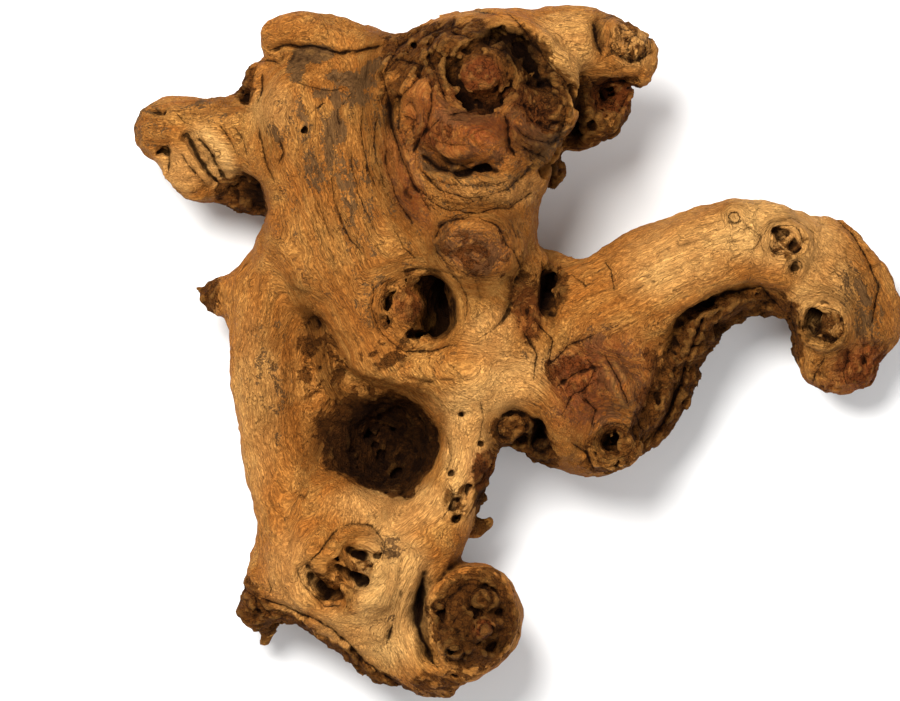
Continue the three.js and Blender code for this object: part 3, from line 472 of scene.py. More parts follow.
# Creases: plan points along the surface, width of the dark line, depth of the groove.
creases = [
    # burl: its fold against the trunk, the cheek, the brow, the wrinkles under it
    [[-35, 121], [-44, 113], [-50, 103], [-47, 92], [-46, 83], [-42, 71], [-37, 60], [-31, 51], 0.7, 1.3],
    [[-30, 104], [-37, 101], [-43, 94], [-44, 84], [-41, 75], 0.5, 0.9],
    [[-32, 103], [-31, 92], [-34, 81], [-39, 72], 0.8, 1.4], [[-39, 86], [-38, 79], 0.7, 0.8],
    [[-42, 90], [-39, 93], [-37, 88], [-38, 82], [-41, 84], 0.4, 0.5],
    [[-27, 87], [-20, 88.5], [-12, 88], [-4.5, 88.6], 0.6, 1.2],
    [[-4.5, 88.6], [-3, 82], [-2, 75.5], [1, 71], 1.1, 1.8], [[-34, 80], [-27, 87], 0.5, 1.2],
    [[-31, 78], [-24, 76], [-17, 76.5], 0.3, 0.6],
    # The mouth under the brow: a groove whose dark line is painted shadow under the overhang.
    [[-36, 73.5], [-29, 68], [-21, 65], [-12.5, 68], [-3, 66.5], 1.2, 1.6],
    [[-27, 71], [-20, 69], [-14, 70], 0.6, 0.9],
    [[-37, 69], [-28, 59.5], [-16, 56], [-3, 59.5], [6, 69], 0.5, 1.0],
    [[-38, 62], [-28, 52.5], [-15, 51], [-2, 53.5], [7, 59.5], 0.6, 1.1],
    [[-35, 65], [-25, 62], [-14, 60.5], [-2, 63], 0.35, 0.7], [[-33, 58], [-20, 54], [-8, 56], 0.35, 0.6],
    [[-30, 55.5], [-16, 53], [0, 56.5], 0.3, 0.5],
    [[-24, 66], [-20, 61], [-10, 62.5], [-4, 61], 0.4, 0.6],
    [[-31, 40], [-28, 46], [-22, 49], [-14, 49.5], [-7, 46], [-3, 40], [0.5, 34.5], [2, 29], 0.7, 1.2],
    [[-31, 40], [-27, 33.5], [-18, 28], [-8, 26.5], 0.35, 0.9],
    [[-24, 40], [-17, 42], [-9, 39], 0.25, 0.5],
    # crown, recess and knob
    [[-4, 127], [4, 118], [11, 108], [20, 99], 0.6, 0.8], [[-27, 120], [-33, 112], [-30, 104], 0.8, 1.3],
    [[-40, 110], [-35, 117], [-26, 121], 0.7, 1.0], [[-24, 113], [-26, 105], [-24, 97], 0.7, 1.1],
    [[0, 92], [6, 90], [12, 86], [19, 85], 0.6, 0.8],
    [[3, 100], [2, 93], [5, 86], [12, 83], [19, 87], 0.6, 0.8],
    [[6, 97], [6, 92], [10, 89], [15, 91], [17, 96], [12, 99], [7, 98], 0.5, 0.7],
    [[8, 94], [11, 92], [14, 94], 0.5, 0.6], [[-2, 84], [5, 79], [13, 77], [20, 80], 0.5, 0.9],
    [[0, 77], [6, 74], [12, 71], 0.6, 0.9], [[4, 88], [9, 83], [17, 81], 0.4, 0.6],
    # brow and whorl beside the recess
    [[-34, 123], [-24, 127], [-16, 127], [-6, 125], 0.9, 1.0],
    [[-50, 102], [-44, 109], [-37, 107], [-32, 104], 0.9, 1.3],
    [[-27, 117], [-31, 109], [-28, 97], [-25, 91], 0.8, 1.0],
    [[-23, 125], [-24, 119], [-15, 115], 0.9, 1.2],
    [[-9, 118], [-10, 113], [-5.5, 111], [-2, 114], 0.9, 0.9], [[7, 104], [11, 97], [18, 93], 0.9, 1.1],
    [[1, 100], [8, 98], [14, 101.5], 1.1, 1.4], [[17, 93], [19, 87], [16, 80], [11, 76], 0.8, 1.1],
    [[-2, 92], [4, 91], [9, 85], 0.7, 0.9],
    # upper right lobe
    [[34, 125], [42, 125], [50, 119], [51, 112], [47, 108.5], [39, 110], [34, 114], 0.8, 1.0],
    [[42.5, 115.5], [48.5, 114.5], [49, 110], [43.5, 109], [42, 113], [42.5, 115.5], 0.6, 0.7],
    [[29, 124], [30, 117], [32, 109], 2.4, 1.9],
    [[29, 123], [36, 125.5], [45, 122.5], [51, 119], [51.5, 114.5], 0.6, 0.9],
    [[32, 109], [38, 111], [41, 108.5], [46, 108], [51, 113], 0.6, 0.9],
    [[34, 121], [36, 116], [35, 111], 0.5, 0.8],
    [[41, 116], [44.5, 118], [48.5, 116], [48.5, 111.5], [44.5, 109.5], [41, 112], [41, 116], 0.5, 0.6],
    [[37, 122], [41, 120], [47, 120.5], 0.45, 0.6], [[36, 116], [39, 113], [40, 109], 0.5, 0.7],
    [[26, 104], [30, 99], [36, 101], [44, 101], 0.8, 1.0], [[30, 96], [31, 89], [27, 83], 0.7, 1.0],
    [[43, 98], [40, 91], [36, 86], 0.7, 1.0], [[33, 94], [37, 92], [39, 96], 0.6, 0.8],
    # trunk and its two lobes
    [[-94, 112], [-86, 114.5], [-77, 114], [-66, 111], [-56, 112.5], [-48, 114.5], 0.9, 2.2],
    [[-95, 105], [-95, 98], [-97, 92], 0.9, 1.4], [[-100, 108], [-93, 109], [-87, 107], 0.5, 0.8],
    [[-82, 101], [-75, 98], [-68, 97], [-60, 99], 0.35, 0.5], [[-75, 90], [-70, 93], 0.6, 0.6],
    [[-60, 97], [-66, 90], [-66, 83], 0.4, 0.5], [[-57, 92], [-58, 82], [-56, 71], [-52, 60], 0.45, 0.8],
    [[-52, 88], [-53, 76], [-50, 64], [-45, 52], 0.5, 0.9],
    [[-49, 76], [-48, 66], [-44, 56], [-38, 46], 0.6, 1.1],
    [[-62, 76], [-61, 66], [-57, 54], [-52, 43], 0.35, 0.6], [[-69, 66], [-68, 56], [-64, 46], 0.35, 0.6],
    [[-56, 71], [-55, 65], 0.9, 0.8], [[-67, 52], [-62, 42], [-56, 34], 0.4, 0.8],
    [[-75, 58], [-72, 50], [-69, 41], 0.35, 0.5], [[-46, 46], [-42, 38], [-36, 33], 0.4, 0.7],
    [[-96, 85], [-95, 77], [-93, 70], [-90, 62], 0.5, 1.3], [[-89, 80], [-87, 74], [-89, 68], 0.4, 0.7],
    # left arm with its split face
    [[-131, 79], [-130, 71], [-131, 66], 0.5, 1.6],
    [[-124, 82], [-120, 74], [-115, 66], [-110, 62], 0.35, 2.0],
    [[-120, 83], [-115, 75], [-111, 67], [-107, 64], 0.5, 1.8],
    [[-129, 90], [-124, 86], [-120, 84], 0.4, 0.7],
    [[-112, 86], [-107, 79], [-104, 72], 0.5, 1.0], [[-106, 85], [-102, 79], [-100, 72], 0.4, 0.8],
    [[-126, 75], [-121, 68], [-116, 62], 0.4, 1.0], [[-130, 62], [-126, 59], 0.7, 1.0],
    # neck, below the burl
    [[-44, -10], [-32, -11.5], [-16, -10], 0.2, 0.9], [[-16, 2], [-6, 10], [2, 22], 0.3, 0.8],
    [[0, 30], [-2, 18], [-6, 8], 0.3, 1.2], [[10, 34], [11, 24], [9, 12], 0.9, 1.4],
    [[-53, 26], [-54, 16], [-50, 6], [-42, 0], [-32, -1], [-22, 3], 0.5, 1.0],
    [[-44, 29], [-34, 31], [-24, 29], [-18, 21], [-18, 11], 0.4, 0.9],
    [[-16, 30], [-13, 20], [-15, 8], 0.2, 0.7], [[2, 8], [8, -2], [6, -12], 0.5, 1.2],
    [[6, 12], [14, 4], [12, -6], 0.5, 1.0],
    # bridge and right mass
    [[-6.5, -25], [0, -22], [8, -26.5], [12, -36], 1.1, 1.5],
    [[12, -6], [20, 2], [30, 6], 0.7, 1.2], [[14, -14], [24, -8], [34, -6], 0.7, 1.2],
    [[16, -26], [22, -16], [30, -12], 0.7, 1.1], [[33, 0], [38, -10], [43, -22], 0.8, 1.4],
    [[24, -16], [30, -22], [28, -30], 0.6, 1.0], [[20, -34], [27, -38], [30, -46], 0.7, 1.2],
    [[44, -22], [48, -30], [46, -38], 0.6, 1.0], [[26, -2], [30, -8], [27, -14], 0.5, 0.8],
    [[-28, -64], [-24, -58], [-22, -50], 0.5, 0.8], [[-14, -18], [-12, -26], [-14, -36], 0.35, 0.5],
    [[-26, -30], [-24, -40], [-27, -48], 0.35, 0.5], [[-8, -40], [-10, -50], [-16, -60], 0.4, 0.6],
    # right arm
    [[118, 52], [126, 45], [132, 36], [137, 24], [134, 8], 0.7, 1.4],
    [[56, -28], [62, -14], [66, 0], [72, 14], 0.8, 1.6],
    [[50, -36], [58, -24], [62, -10], 0.7, 1.2], [[70, 18], [80, 22], [92, 24], [102, 14], 0.7, 1.4],
    [[40, 26], [60, 38], [78, 46], 0.0, 0.6], [[36, 18], [56, 28], [76, 34], 0.0, 0.6],
    [[94, 36], [92, 42], [96, 48], [104, 50], [112, 44], [112, 38], 0.3, 0.6],
    [[84, 44], [88, 46], [92, 43], [90, 38], [84, 37], 0.3, 0.6],
    [[78, 42], [82, 41], [88, 42], 0.25, 0.5],
    [[124, 40], [126, 30], [127, 20], 0.0, 0.7], [[117, 28], [120, 30], [123, 27], 0.5, 0.5],
    [[104, 20], [104, 12], [107, 3], 0.6, 1.0], [[126, 2], [124, -8], [126, -14], 0.5, 1.0],
    [[118, -1], [114, -8], [112, -14], 0.5, 1.0], [[132, 0], [133, -8], 0.4, 0.9],
    [[37, 22], [36, 30], [33, 34], 0.5, 0.7], [[20, 30], [26, 24], [30, 26], 0.4, 0.7],
    # foot and stump
    [[-66, -66], [-70, -71], [-74, -76], [-78, -80], 0.8, 1.4],
    [[-49, -112], [-47, -106], [-46, -101], 1.2, 1.6],
    [[-97, -93], [-91, -95], [-85, -97], [-77, -100], [-69, -105], [-63, -110], [-58, -116], [-50, -122],
     [-41, -128], 0.9, 1.6],
    [[-105, -88], [-98, -93], [-97, -100], 0.8, 1.2], [[-94, -84], [-92, -90], [-94, -94], 0.4, 0.8],
    [[-88, -60], [-84, -70], [-88, -80], 0.0, 0.8], [[-40, -72], [-44, -84], [-42, -94], 0.0, 0.8],
    [[-66, -67], [-62, -65], [-54, -66], [-49, -72], [-50, -80], 0.35, 0.8],
    [[-78, -79], [-82, -82], [-80, -88], [-72, -96], [-64, -96], 0.35, 0.8],
    [[-34, -82], [-36, -92], [-36.5, -104], [-33, -114], [-28, -120], 1.3, 1.8],
    [[-26, -94], [-20, -88], [-10, -88], [-2, -95], [-1, -106], [-6, -114], 0.3, 0.8],
    [[-26, -98], [-29, -106], [-26, -115], 0.3, 0.8],
    [[-20, -108], [-14, -110], [-8, -106], 0.4, 0.8], [[-24, -104], [-21, -98], [-17, -97], 0.4, 0.8],
]

# Open pits: plan x, y, radius, depth, and how long they are along which direction.
pits = [
    [-79, 82.2, 1.6, 5, 1.25, 15], [-20, -24, 1.1, 3, 1, 0], [-13, -35, 1.1, 3, 1, 0],
    [-18, -52, 1.7, 4, 1.6, 70], [-22, -57, 1.9, 5, 1.8, 60], [-22, -63, 1.6, 5, 1.4, 40],
    [-24, -46, 1.0, 3, 1, 0], [-15, -46, 1.0, 3, 1, 0],
    [-52.5, -77, 1.2, 4, 1.3, 0], [-67, -78, 1.0, 3, 1.6, -60],
    [99, 44, 1.7, 4, 1.5, -35], [105, 38.5, 1.8, 4, 1.4, -35], [105.5, 31, 1.6, 3, 1.2, 0],
    [112, 11, 2.8, 9, 1.9, 80], [118.5, 4.5, 1.4, 4, 1.3, 0],
    [36.5, -34.5, 2.2, 8, 1.3, 40], [-14, -99, 1.5, 4, 1.4, 30], [-24, -113, 1.8, 5, 1.2, 0],
    [-6, -98, 1.2, 3, 1, 0], [-10, -111, 1.3, 4, 1.3, 40], [-28, -100, 1.3, 4, 1.2, 90],
    [-50, -40, 2.2, 5, 1, 0], [-46, -30, 1.8, 4, 1, 0], [-55, -32, 2.0, 5, 1, 0],
    [-44, -46, 2.0, 5, 1.3, 0], [2, -34, 1.8, 5, 1.4, 0], [9, -33, 2.0, 6, 1.3, 60],
    [45, 101, 1.4, 3, 1, 0], [-133.5, 74.7, 2.0, 5, 1.4, 10], [-134, 89.5, 1.2, 2.4, 2.2, 10],
    [-30, 108, 1.6, 4, 1.7, 30], [-38, 114, 1.2, 3, 1.6, -40], [10.5, 98.5, 1.8, 4, 1.6, -20],
    [28, 84, 2.0, 6, 1.2, 0], [34, 88, 1.8, 5, 1.2, 0], [35.5, 97, 3.0, 7, 1.3, 20],
    [-101.5, 95.5, 2.4, 6, 1.3, 90], [-20, 66, 1.3, 3, 2.4, 5], [-12, 68, 1.2, 3, 2.0, 20],
    [13, 25, 2.2, 8, 2.0, 80], [-36, 104, 1.0, 3, 1.5, 60], [22, 97, 1.8, 6, 1.4, 60],
]

# Deep hollows: plan x, y, depth of the middle below the surface, radius, one chain each.
hollows = [
    [[-23, 106, 1, 2.4], [-23.5, 99, 2, 3.2], [-19, 93, 3, 3.4], [-12, 90.5, 3, 3.0], [-5, 93, 2, 2.4],
     [-1, 99, 1, 1.8]],
    [[-21, 111, 0, 1.8], [-14, 115, 0, 2.4], [-6, 117, 2, 3.4]],
    [[-62, -75.5, 0, 1.6], [-57.5, -77, 1, 2.1], [-54, -79.5, 1, 1.8]],
    [[-66.5, -81.5, 0, 1.4], [-61.5, -84, 1, 2.1], [-56.5, -87, 1, 2.3]],
    [[-79, -81, 0, 1.5], [-76, -86.5, 1, 2.1], [-71, -91.5, 2, 2.8], [-65, -92, 1, 2.2]],
    [[-7, 119, 3, 3.2], [-1, 115, 5, 4.4], [4, 109, 4, 4.2], [7, 103, 2, 2.2]],
    [[22, 93, 2, 2.4], [22.5, 84, 2, 2.6], [16, 75, 2, 2.4], [9.5, 67, 3, 3.0]],
    [[-28, 24, 3, 4.0], [-25.5, 17, 5, 5.4], [-26, 9, 4, 4.6], [-31, 6, 3, 3.0]],
    [[-43, 24, 2, 1.8], [-47, 18, 3, 2.2], [-46, 11, 3, 2.4], [-40, 6.5, 3, 2.4], [-33, 6, 3, 2.4]],
    [[-41, 26, 1, 1.6], [-34, 27, 2, 2.2], [-28, 25, 3, 3.0]],
    [[-124, 81, -1, 2.2], [-118, 73, -1, 2.6], [-112, 65, -1, 2.4]],
    [[12.5, 28, 2, 2.2], [13, 22, 2, 2.4]],
]

# Knots: plan x, y, radius, how far the peg stands up, depth of the groove round it.
knots = [
    [-11, -104.5, 2.8, 1.2, 0.9], [-12.8, -93, 4.4, 1.0, 1.0], [-22.5, -113.4, 3.6, 0.5, 1.0],
    [102, 41.3, 6.2, -1.8, 1.0], [116, 9.5, 7.6, -1.2, 1.2], [82, 50, 2.2, -0.2, 0.4],
    [-1, -28.5, 5.4, 0.8, 1.4], [10, -35, 3.4, 0.2, 1.2], [-40.5, 84, 3.4, 0.4, 0.3],
    [37, -34, 7.6, -0.8, 1.3], [-28.5, -96, 2.4, 0.3, 0.9], [105.3, 31.6, 2.6, -0.3, 0.5],
    [-112.3, 73.8, 1.6, 0.0, 0.4],
]


def roughLine(points, spacing=1.6, wander=0.8):  # the same line with the small turns of a crack
    out = []
    for a, b in zip(points[:-1], points[1:]):
        steps = max(1, int(math.dist(a, b) / spacing))
        out += [[a[k] + (b[k] - a[k]) * t / steps for k in (0, 1)] for t in range(steps)]
    out = np.array([*out, points[-1]], float)
    places = np.stack([out[:, 0] / 3.1, out[:, 1] / 3.1, 0 * out[:, 0] + 4.5], 1)
    out += wander * np.stack([noise(places), noise(places + 9)], 1)
    if points[0] == points[-1]:
        out[-1] = out[0]
    return out


# Lines of a knot: share of its radius, from and to which turn, width, depth of the groove.
ringLines = [
    [1.0, 0, 360, 0.5, 0.0], [0.62, 40, 230, 0.3, 0.35], [1.4, 150, 290, 0.25, 0.35],
]


def knotRings():  # a dark line round each knot and arcs inside and outside it
    out = []
    for x, y, radius, rise, depth in knots:
        for share, turnFrom, turnTo, width, groove in ringLines:
            reach = share * radius
            if reach < 1.2:
                continue
            steps = max(5, int(reach * math.radians(turnTo - turnFrom) / 1.5))
            turns = np.radians(np.linspace(turnFrom + 37 * x % 90, turnTo + 37 * x % 90, steps))
            ring = [[x + reach * math.cos(t), y + 0.93 * reach * math.sin(t)] for t in turns]
            if turnTo - turnFrom == 360:
                ring[-1] = ring[0]
            out.append([*ring, width, groove])
    return out


lineReach = 4.0  # how far beside itself a line is felt
lineLevels = (4, 8)  # and how far above or below, where it starts and ends to fade
lineTaper = 4.0  # length over which an open line runs out at its ends
shadeWidth = 1.9


def besideLine(p, line):  # distance from one line, the same with a sign for its side, strength
    nearest, side, share, gone = (np.full(len(p), v, float) for v in (9.0, 9.0, 0.0, 0.0))
    lengths = np.linalg.norm(np.diff(line[:, :2], axis=0), axis=1)
    whole = lengths.sum()
    closed = np.allclose(line[0, :2], line[-1, :2])
    for a, b, length in zip(line[:-1], line[1:], lengths):
        e = (b[:2] - a[:2]) / (length + 1e-9)
        t = np.clip((p[:, :2] - a[:2]) @ e, 0, length)
        off = p[:, :2] - a[:2] - t[:, None] * e
        d = np.hypot(off[:, 0], off[:, 1])
        height = a[2] + (b[2] - a[2]) * t / (length + 1e-9)
        level = 1 - step01(*lineLevels, np.abs(p[:, 2] - height))
        end = 1.0
        if not closed:
            end = np.clip(np.minimum(gone + t, whole - gone - t) / lineTaper, 0, 1)
        closer = d < nearest
        nearest = np.where(closer, d, nearest)
        turned = e[0] * (p[:, 1] - a[1]) - e[1] * (p[:, 0] - a[0])
        side = np.where(closer, np.where(turned < 0, -d, d), side)
        share = np.where(closer, level * end, share)
        gone += length
    return nearest, side, share


def nearLines(points, lines):  # signed distance to the nearest line, its strength, width, groove
    count = len(points)
    best, signed = np.full(count, 9.0), np.full(count, lineReach)
    strength, width, groove = np.zeros(count), np.full(count, 0.4), np.zeros(count)
    for line, lineWidth, depth in lines:
        low, high = line.min(0)[:2] - lineReach, line.max(0)[:2] + lineReach
        inside = np.nonzero((points[:, 0] > low[0]) & (points[:, 0] < high[0])
                            & (points[:, 1] > low[1]) & (points[:, 1] < high[1]))[0]
        if not len(inside):
            continue
        nearest, side, share = besideLine(points[inside], line)
        groove[inside] += depth * share * np.exp(-(nearest / (0.75 + 0.4 * lineWidth)) ** 2)
        closer = (nearest < best[inside]) & (share > 0.02)
        at = inside[closer]
        best[at], signed[at] = nearest[closer], side[closer]
        strength[at] = share[closer] * np.exp(-(nearest[closer] / shadeWidth) ** 2)
        width[at] = lineWidth
    return signed, strength, width, groove


def drawnLines(volume):
    out = []
    for *line, width, depth in creases + knotRings():
        rough = roughLine(line)
        placed = np.array([[*plan([x, y, 0])[:2], volume.top(x, y)] for x, y in rough])
        out.append((placed, width, depth))
    return out


def knotRelief(points, volume):
    moved = np.zeros(len(points))
    for x, y, radius, rise, depth in knots:
        cx, cy, cz = plan([x, y, 0]) + [0, 0, volume.top(x, y)]
        room = [2.2 * radius, 2.2 * radius, 9]
        near = np.nonzero((np.abs(points - [cx, cy, cz]) < room).all(1))[0]
        dx, dy = points[near, 0] - cx, points[near, 1] - cy
        around = np.hypot(dx, dy)
        unit = np.stack([dx, dy, 0 * dx], 1) / (around[:, None] + 1e-6)
        r = around * (1 + 0.16 * noise(unit * 1.3 + [x, y, 0]))
        moved[near] -= rise * (1 - step01(0.5 * radius, 0.95 * radius, r))
        moved[near] += depth * np.exp(-((r - radius) / 0.9) ** 2) * (0.75 + 0.5 * noise(unit * 2 + x))
        moved[near] -= 0.45 * np.exp(-((r - 1.42 * radius) / (0.25 * radius)) ** 2)
    return moved


def shapeFine(volume):
    for chain in hollows:
        stations = [[x, y, volume.top(x, y) - sunk, radius] for x, y, sunk, radius in chain]
        cutChain(volume, stations, 1.0, 1.5)
    for x, y, radius, depth, stretch, turn in pits:
        z = volume.top(x, y)
        a = math.radians(turn)
        reach = radius * (stretch - 1)
        dx, dy = reach * math.cos(a), reach * math.sin(a)
        stations = [[x - dx, y - dy, z, radius], [x + dx, y + dy, z, radius]]
        cutChain(volume, stations, 0.6, max(1.0, depth / radius))


def looked(i, order):  # random values of a lattice cell, another set for each order of its axes
    return np.stack([noise.table[tuple(i[:, k] for k in axes)] for axes in order], 1)


def chips(points, broken):  # flat faces at odd angles
    p = points / wood["chipLength"]
    p = p + 0.35 * np.stack([noise(points / 4 + k) for k in (3, 7, 13)], 1)
    base = np.floor(p).astype(int)
    nearest = np.full(len(p), 1e9)
    height = np.zeros(len(p))
    for offset in np.ndindex(3, 3, 3):
        c = base + np.array(offset) - 1
        i = c & 31
        jitter = looked(i, [(0, 1, 2), (1, 2, 0), (2, 0, 1)])
        tilt = looked(i, [(0, 2, 1), (1, 0, 2), (2, 1, 0)])
        away = p - c - 0.5 - 0.42 * jitter
        distance = (away ** 2).sum(1)
        closer = distance < nearest
        nearest = np.where(closer, distance, nearest)
        height = np.where(closer, (away * tilt).sum(1) + 0.3 * tilt[:, 0], height)
    return wood["chipHeight"] * broken * height


def detail(volume, lines):
    near = np.abs(volume.values) < wood["band"]
    index = np.argwhere(near)
    points = volume.low + index * cell
    low, high = volume.low, volume.low + volume.count * cell
    grain = Coarse(grainAt, low, high, wood["lattice"])(points)
    masks = Coarse(masksAt, low, high, wood["lattice"])(points)
    stage("grain and places read at %d cells" % len(points))
    dark, broken = masks[:, column["dark"]], masks[:, column["broken"]]
    moved = wood["swellHeight"] * noise.layers(points, wood["swellLength"], 2)
    curl = np.stack([noise(points / wood["curlLength"] + k) for k in (11, 23, 31)], 1)
    flow = grain + curl * wood["curlReach"]
    furrow = 1 - 2 * np.abs(noise(flow / wood["furrowSize"]))
    furrowed = 0.3 + 0.7 * step01(-0.3, 0.5, noise(points / wood["furrowPatches"] + 3))
    moved += wood["furrowDepth"] * furrowed * furrow ** 3
    moved += wood["grainHeight"] * noise.layers(points + 70, wood["grainLength"], 2)
    fibre = noise(flow / wood["fibreSize"]) + 0.7 * noise(flow / wood["hairSize"] + 3)
    moved += wood["fibreHeight"] * (0.7 + 0.8 * dark) * fibre
    chipped = broken > 0.05
    moved[chipped] += chips(points[chipped], broken[chipped])
    warped = points + 1.5 * noise.layers(points, 5.0, 1)[:, None]
    crumble = noise.layers(warped, wood["crumbleLength"], 3, 0.6)
    creased = np.abs(noise.layers(points + 40, wood["creaseLength"], 2))
    moved += wood["roughHeight"] * dark ** 1.5 * (crumble * 0.7 + 0.9 * (0.35 - creased))
    holes = step01(0.42, 0.8, noise(points / wood["pitSpacing"] + 9)) * step01(0.35, 0.8, dark)
    moved += wood["pitDepth"] * holes
    moved += nearLines(points, lines)[3] + knotRelief(points, volume)
    volume.values[near] += moved.astype(np.float32)


def largestBody(points, triangles):  # drops crumbs that came loose
    parent = np.arange(len(points))
    while True:
        lowest = np.minimum.reduce([parent[triangles[:, k]] for k in range(3)])
        new = parent.copy()
        for k in range(3):
            np.minimum.at(new, triangles[:, k], lowest)
        new = new[new]
        if np.array_equal(new, parent):
            break
        parent = new
    labels, sizes = np.unique(parent[triangles[:, 0]], return_counts=True)
    keep = parent[triangles[:, 0]] == labels[np.argmax(sizes)]
    triangles = triangles[keep]
    used, inverse = np.unique(triangles, return_inverse=True)
    return points[used], inverse.reshape(-1, 3)


def makeMesh(name, points, faces):
    mesh = bpy.data.meshes.new(name)
    mesh.vertices.add(len(points))
    mesh.vertices.foreach_set("co", np.asarray(points, np.float32).ravel())
    mesh.loops.add(faces.size)
    mesh.loops.foreach_set("vertex_index", faces.ravel().astype(np.int32))
    mesh.polygons.add(len(faces))
    mesh.polygons.foreach_set("loop_start", np.arange(0, faces.size, 3, dtype=np.int32))
    mesh.polygons.foreach_set("use_smooth", np.ones(len(faces), bool))
    mesh.update(calc_edges=True)
    mesh.validate()
    return mesh


def decimated(obj, budget):
    change = obj.modifiers.new("fewer", "DECIMATE")
    change.ratio = min(1.0, budget / len(obj.data.polygons))
    view = bpy.context.evaluated_depsgraph_get()
    mesh = bpy.data.meshes.new_from_object(obj.evaluated_get(view))
    obj.modifiers.clear()
    old = obj.data
    obj.data = mesh
    bpy.data.meshes.remove(old)


def softened(node):  # the solid's mesh, subdivided so that its facets flow into each other
    copy = bpy.data.objects.new("softened", node.data.copy())
    bpy.context.scene.collection.objects.link(copy)
    weld = copy.modifiers.new("weld", "WELD")
    weld.merge_threshold = 1e-6
    finer = copy.modifiers.new("finer", "SUBSURF")
    finer.levels = finer.render_levels = 2
    view = bpy.context.evaluated_depsgraph_get()
    mesh = bpy.data.meshes.new_from_object(copy.evaluated_get(view))
    bpy.data.objects.remove(copy)
    return bpy.data.objects.new("softened", mesh)


def buildWood(node):
    soft = softened(node)
    volume = Volume(soft)
    bpy.data.objects.remove(soft)
    stage("solid read as a volume of %s cells" % (volume.values.shape,))
    volume.values = blur(volume.values, wood["facetSoftness"] / cell)
    shapeFine(volume)
    lines = drawnLines(volume)
    stage("hollows and pits cut, %d lines placed" % len(lines))
    detail(volume, lines)
    _, x, y, z = volume.block(volume.low, volume.low + volume.count * cell)
    np.maximum(volume.values, -z.astype(np.float32), out=volume.values)
    stage("surface worked")
    points, triangles, quads = volume.polygons()
    faces = np.concatenate([triangles, quads[:, [0, 1, 2]], quads[:, [0, 2, 3]]]).astype(np.int64)
    a, b, c = (points[faces[:, k]] for k in range(3))
    if np.einsum("ij,ij->i", a, np.cross(b, c)).sum() < 0:
        faces = faces[:, ::-1]
    points, faces = largestBody(points, faces)
    low, high = (np.array(v) * 1000 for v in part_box("mopani_wood"))
    points = np.clip(points, low, high)
    obj = bpy.data.objects.new("wood", makeMesh("wood", points / 1000, faces))
    bpy.context.scene.collection.objects.link(obj)
    stage("meshed with %d triangles" % len(faces))
    decimated(obj, wood["triangles"])
    stage("reduced to %d triangles" % len(obj.data.polygons))
    keepSurfaceFacts(obj, volume, lines)
    return obj


# Colour

finish = {
    "tones": {
        "palestWood": (0.88, 0.485, 0.155),
        "paleSapwood": (0.65, 0.30, 0.069),
        "sapwood": (0.50, 0.192, 0.036),
        "orangeSapwood": (0.39, 0.115, 0.015),
        "fibreLine": (0.082, 0.023, 0.0035),
        "heartwood": (0.037, 0.0105, 0.0018),
        "brownWood": (0.150, 0.049, 0.0085),
        "charcoal": (0.008, 0.0024, 0.0006),
        "weathered": (0.150, 0.073, 0.025),
        "greyWood": (0.072, 0.035, 0.0135),
        "redWood": (0.21, 0.044, 0.010),
    },
    # Effects: node group, what it follows, how large it is in millimetres, and where it starts
    # and ends to show. Shorten presses it along the grain, Thin is the width of a crack's line.
    # Fine is single fibres and medium bundles of them, broad orange streaks, dashes short grey
    # lines, checks drying cracks and crackle the net of cracks in heartwood. Swelling makes a
    # drawn line thick or thin.
    "effects": {
        "fine": ("fibres", "grain", {"Width": 0.52, "Shorten": 2.4, "Low": 0.40, "High": 0.60}),
        "medium": ("fibres", "grain", {"Width": 1.3, "Shorten": 1.4}),
        "broad": ("fibres", "grain", {"Width": 4.5, "Low": 0.36, "High": 0.66}),
        "stains": ("fibres", "grain", {"Width": 3.4, "Shorten": 1.6, "Low": 0.47, "High": 0.55}),
        "dashes": ("fibres", "grain", {"Width": 0.75, "Shorten": 2.2, "Low": 0.57, "High": 0.66}),
        "checks": ("fineCracks", "grain", {"Width": 4.2, "Shorten": 0.6, "Thin": 0.012}),
        "crackle": ("fineCracks", "place", {"Width": 3.2, "Thin": 0.04}),
        "clouds": ("mottle", "place", {"Size": 24.0, "Edge": 0.12}),
        "blotches": ("mottle", "place", {"Size": 7.0, "Edge": 0.05}),
        "grit": ("mottle", "place", {"Size": 0.9, "Edge": 0.14}),
        "swelling": ("mottle", "place", {"Size": 3.2, "Edge": 0.3}),
    },
    # How far each effect changes the colour below it. Sunk and deep lay painted shade in furrows and
    # hollows.
    "strengths": {
        "orange": 0.6, "brownSkin": 0.68, "fineFibres": 0.52, "fibreBundles": 0.2, "grit": 0.2,
        "greySkin": 0.92, "heartwood": 0.92, "heartRed": 0.7, "crackle": 0.75, "lineShade": 0.4,
        "line": 0.85, "sunk": 0.85, "raised": 0.22, "deep": 0.97,
    },
    # Where each place starts, and where it is at its full: by its mask, by the share of wood
    # round it (for sunk and deep, painted shade in furrows and hollows), or by the distance from a drawn
    # line.
    "edges": {
        "greySkin": (0.55, 0.62), "heartwood": (0.36, 0.66), "sunk": (0.54, 0.70),
        "raised": (0.46, 0.30), "deep": (0.57, 0.78), "line": (-0.12, 0.22), "lineShade": (0.0, 2.2),
        "drawn": (0.05, 0.6), "lineWidth": (0.0, 0.5),
    },
    # How high each effect stands in the surface relief, as shares of its depth in metres.
    "relief": {
        "depth": 0.0005, "fine": 0.55, "medium": 0.5, "dashes": 0.6, "checks": 0.8, "line": 1.4,
        "grit": 0.35, "heartGrit": 0.7, "crackle": 0.9,
    },
    "curlSize": 0.16,  # how often and how far the fibres wander
    "curlReach": (2.2, 2.2, 0.5),
    "gloss": 0.04,
    "roughness": 0.62,
    "heartRoughness": 0.2,  # added in heartwood
    "fibreRoughness": 0.12,  # added on the fibres
}


def setVector(mesh, name, values):
    kept = mesh.attributes.new(name, "FLOAT_VECTOR", "POINT")
    kept.data.foreach_set("vector", np.asarray(values, np.float32).ravel())


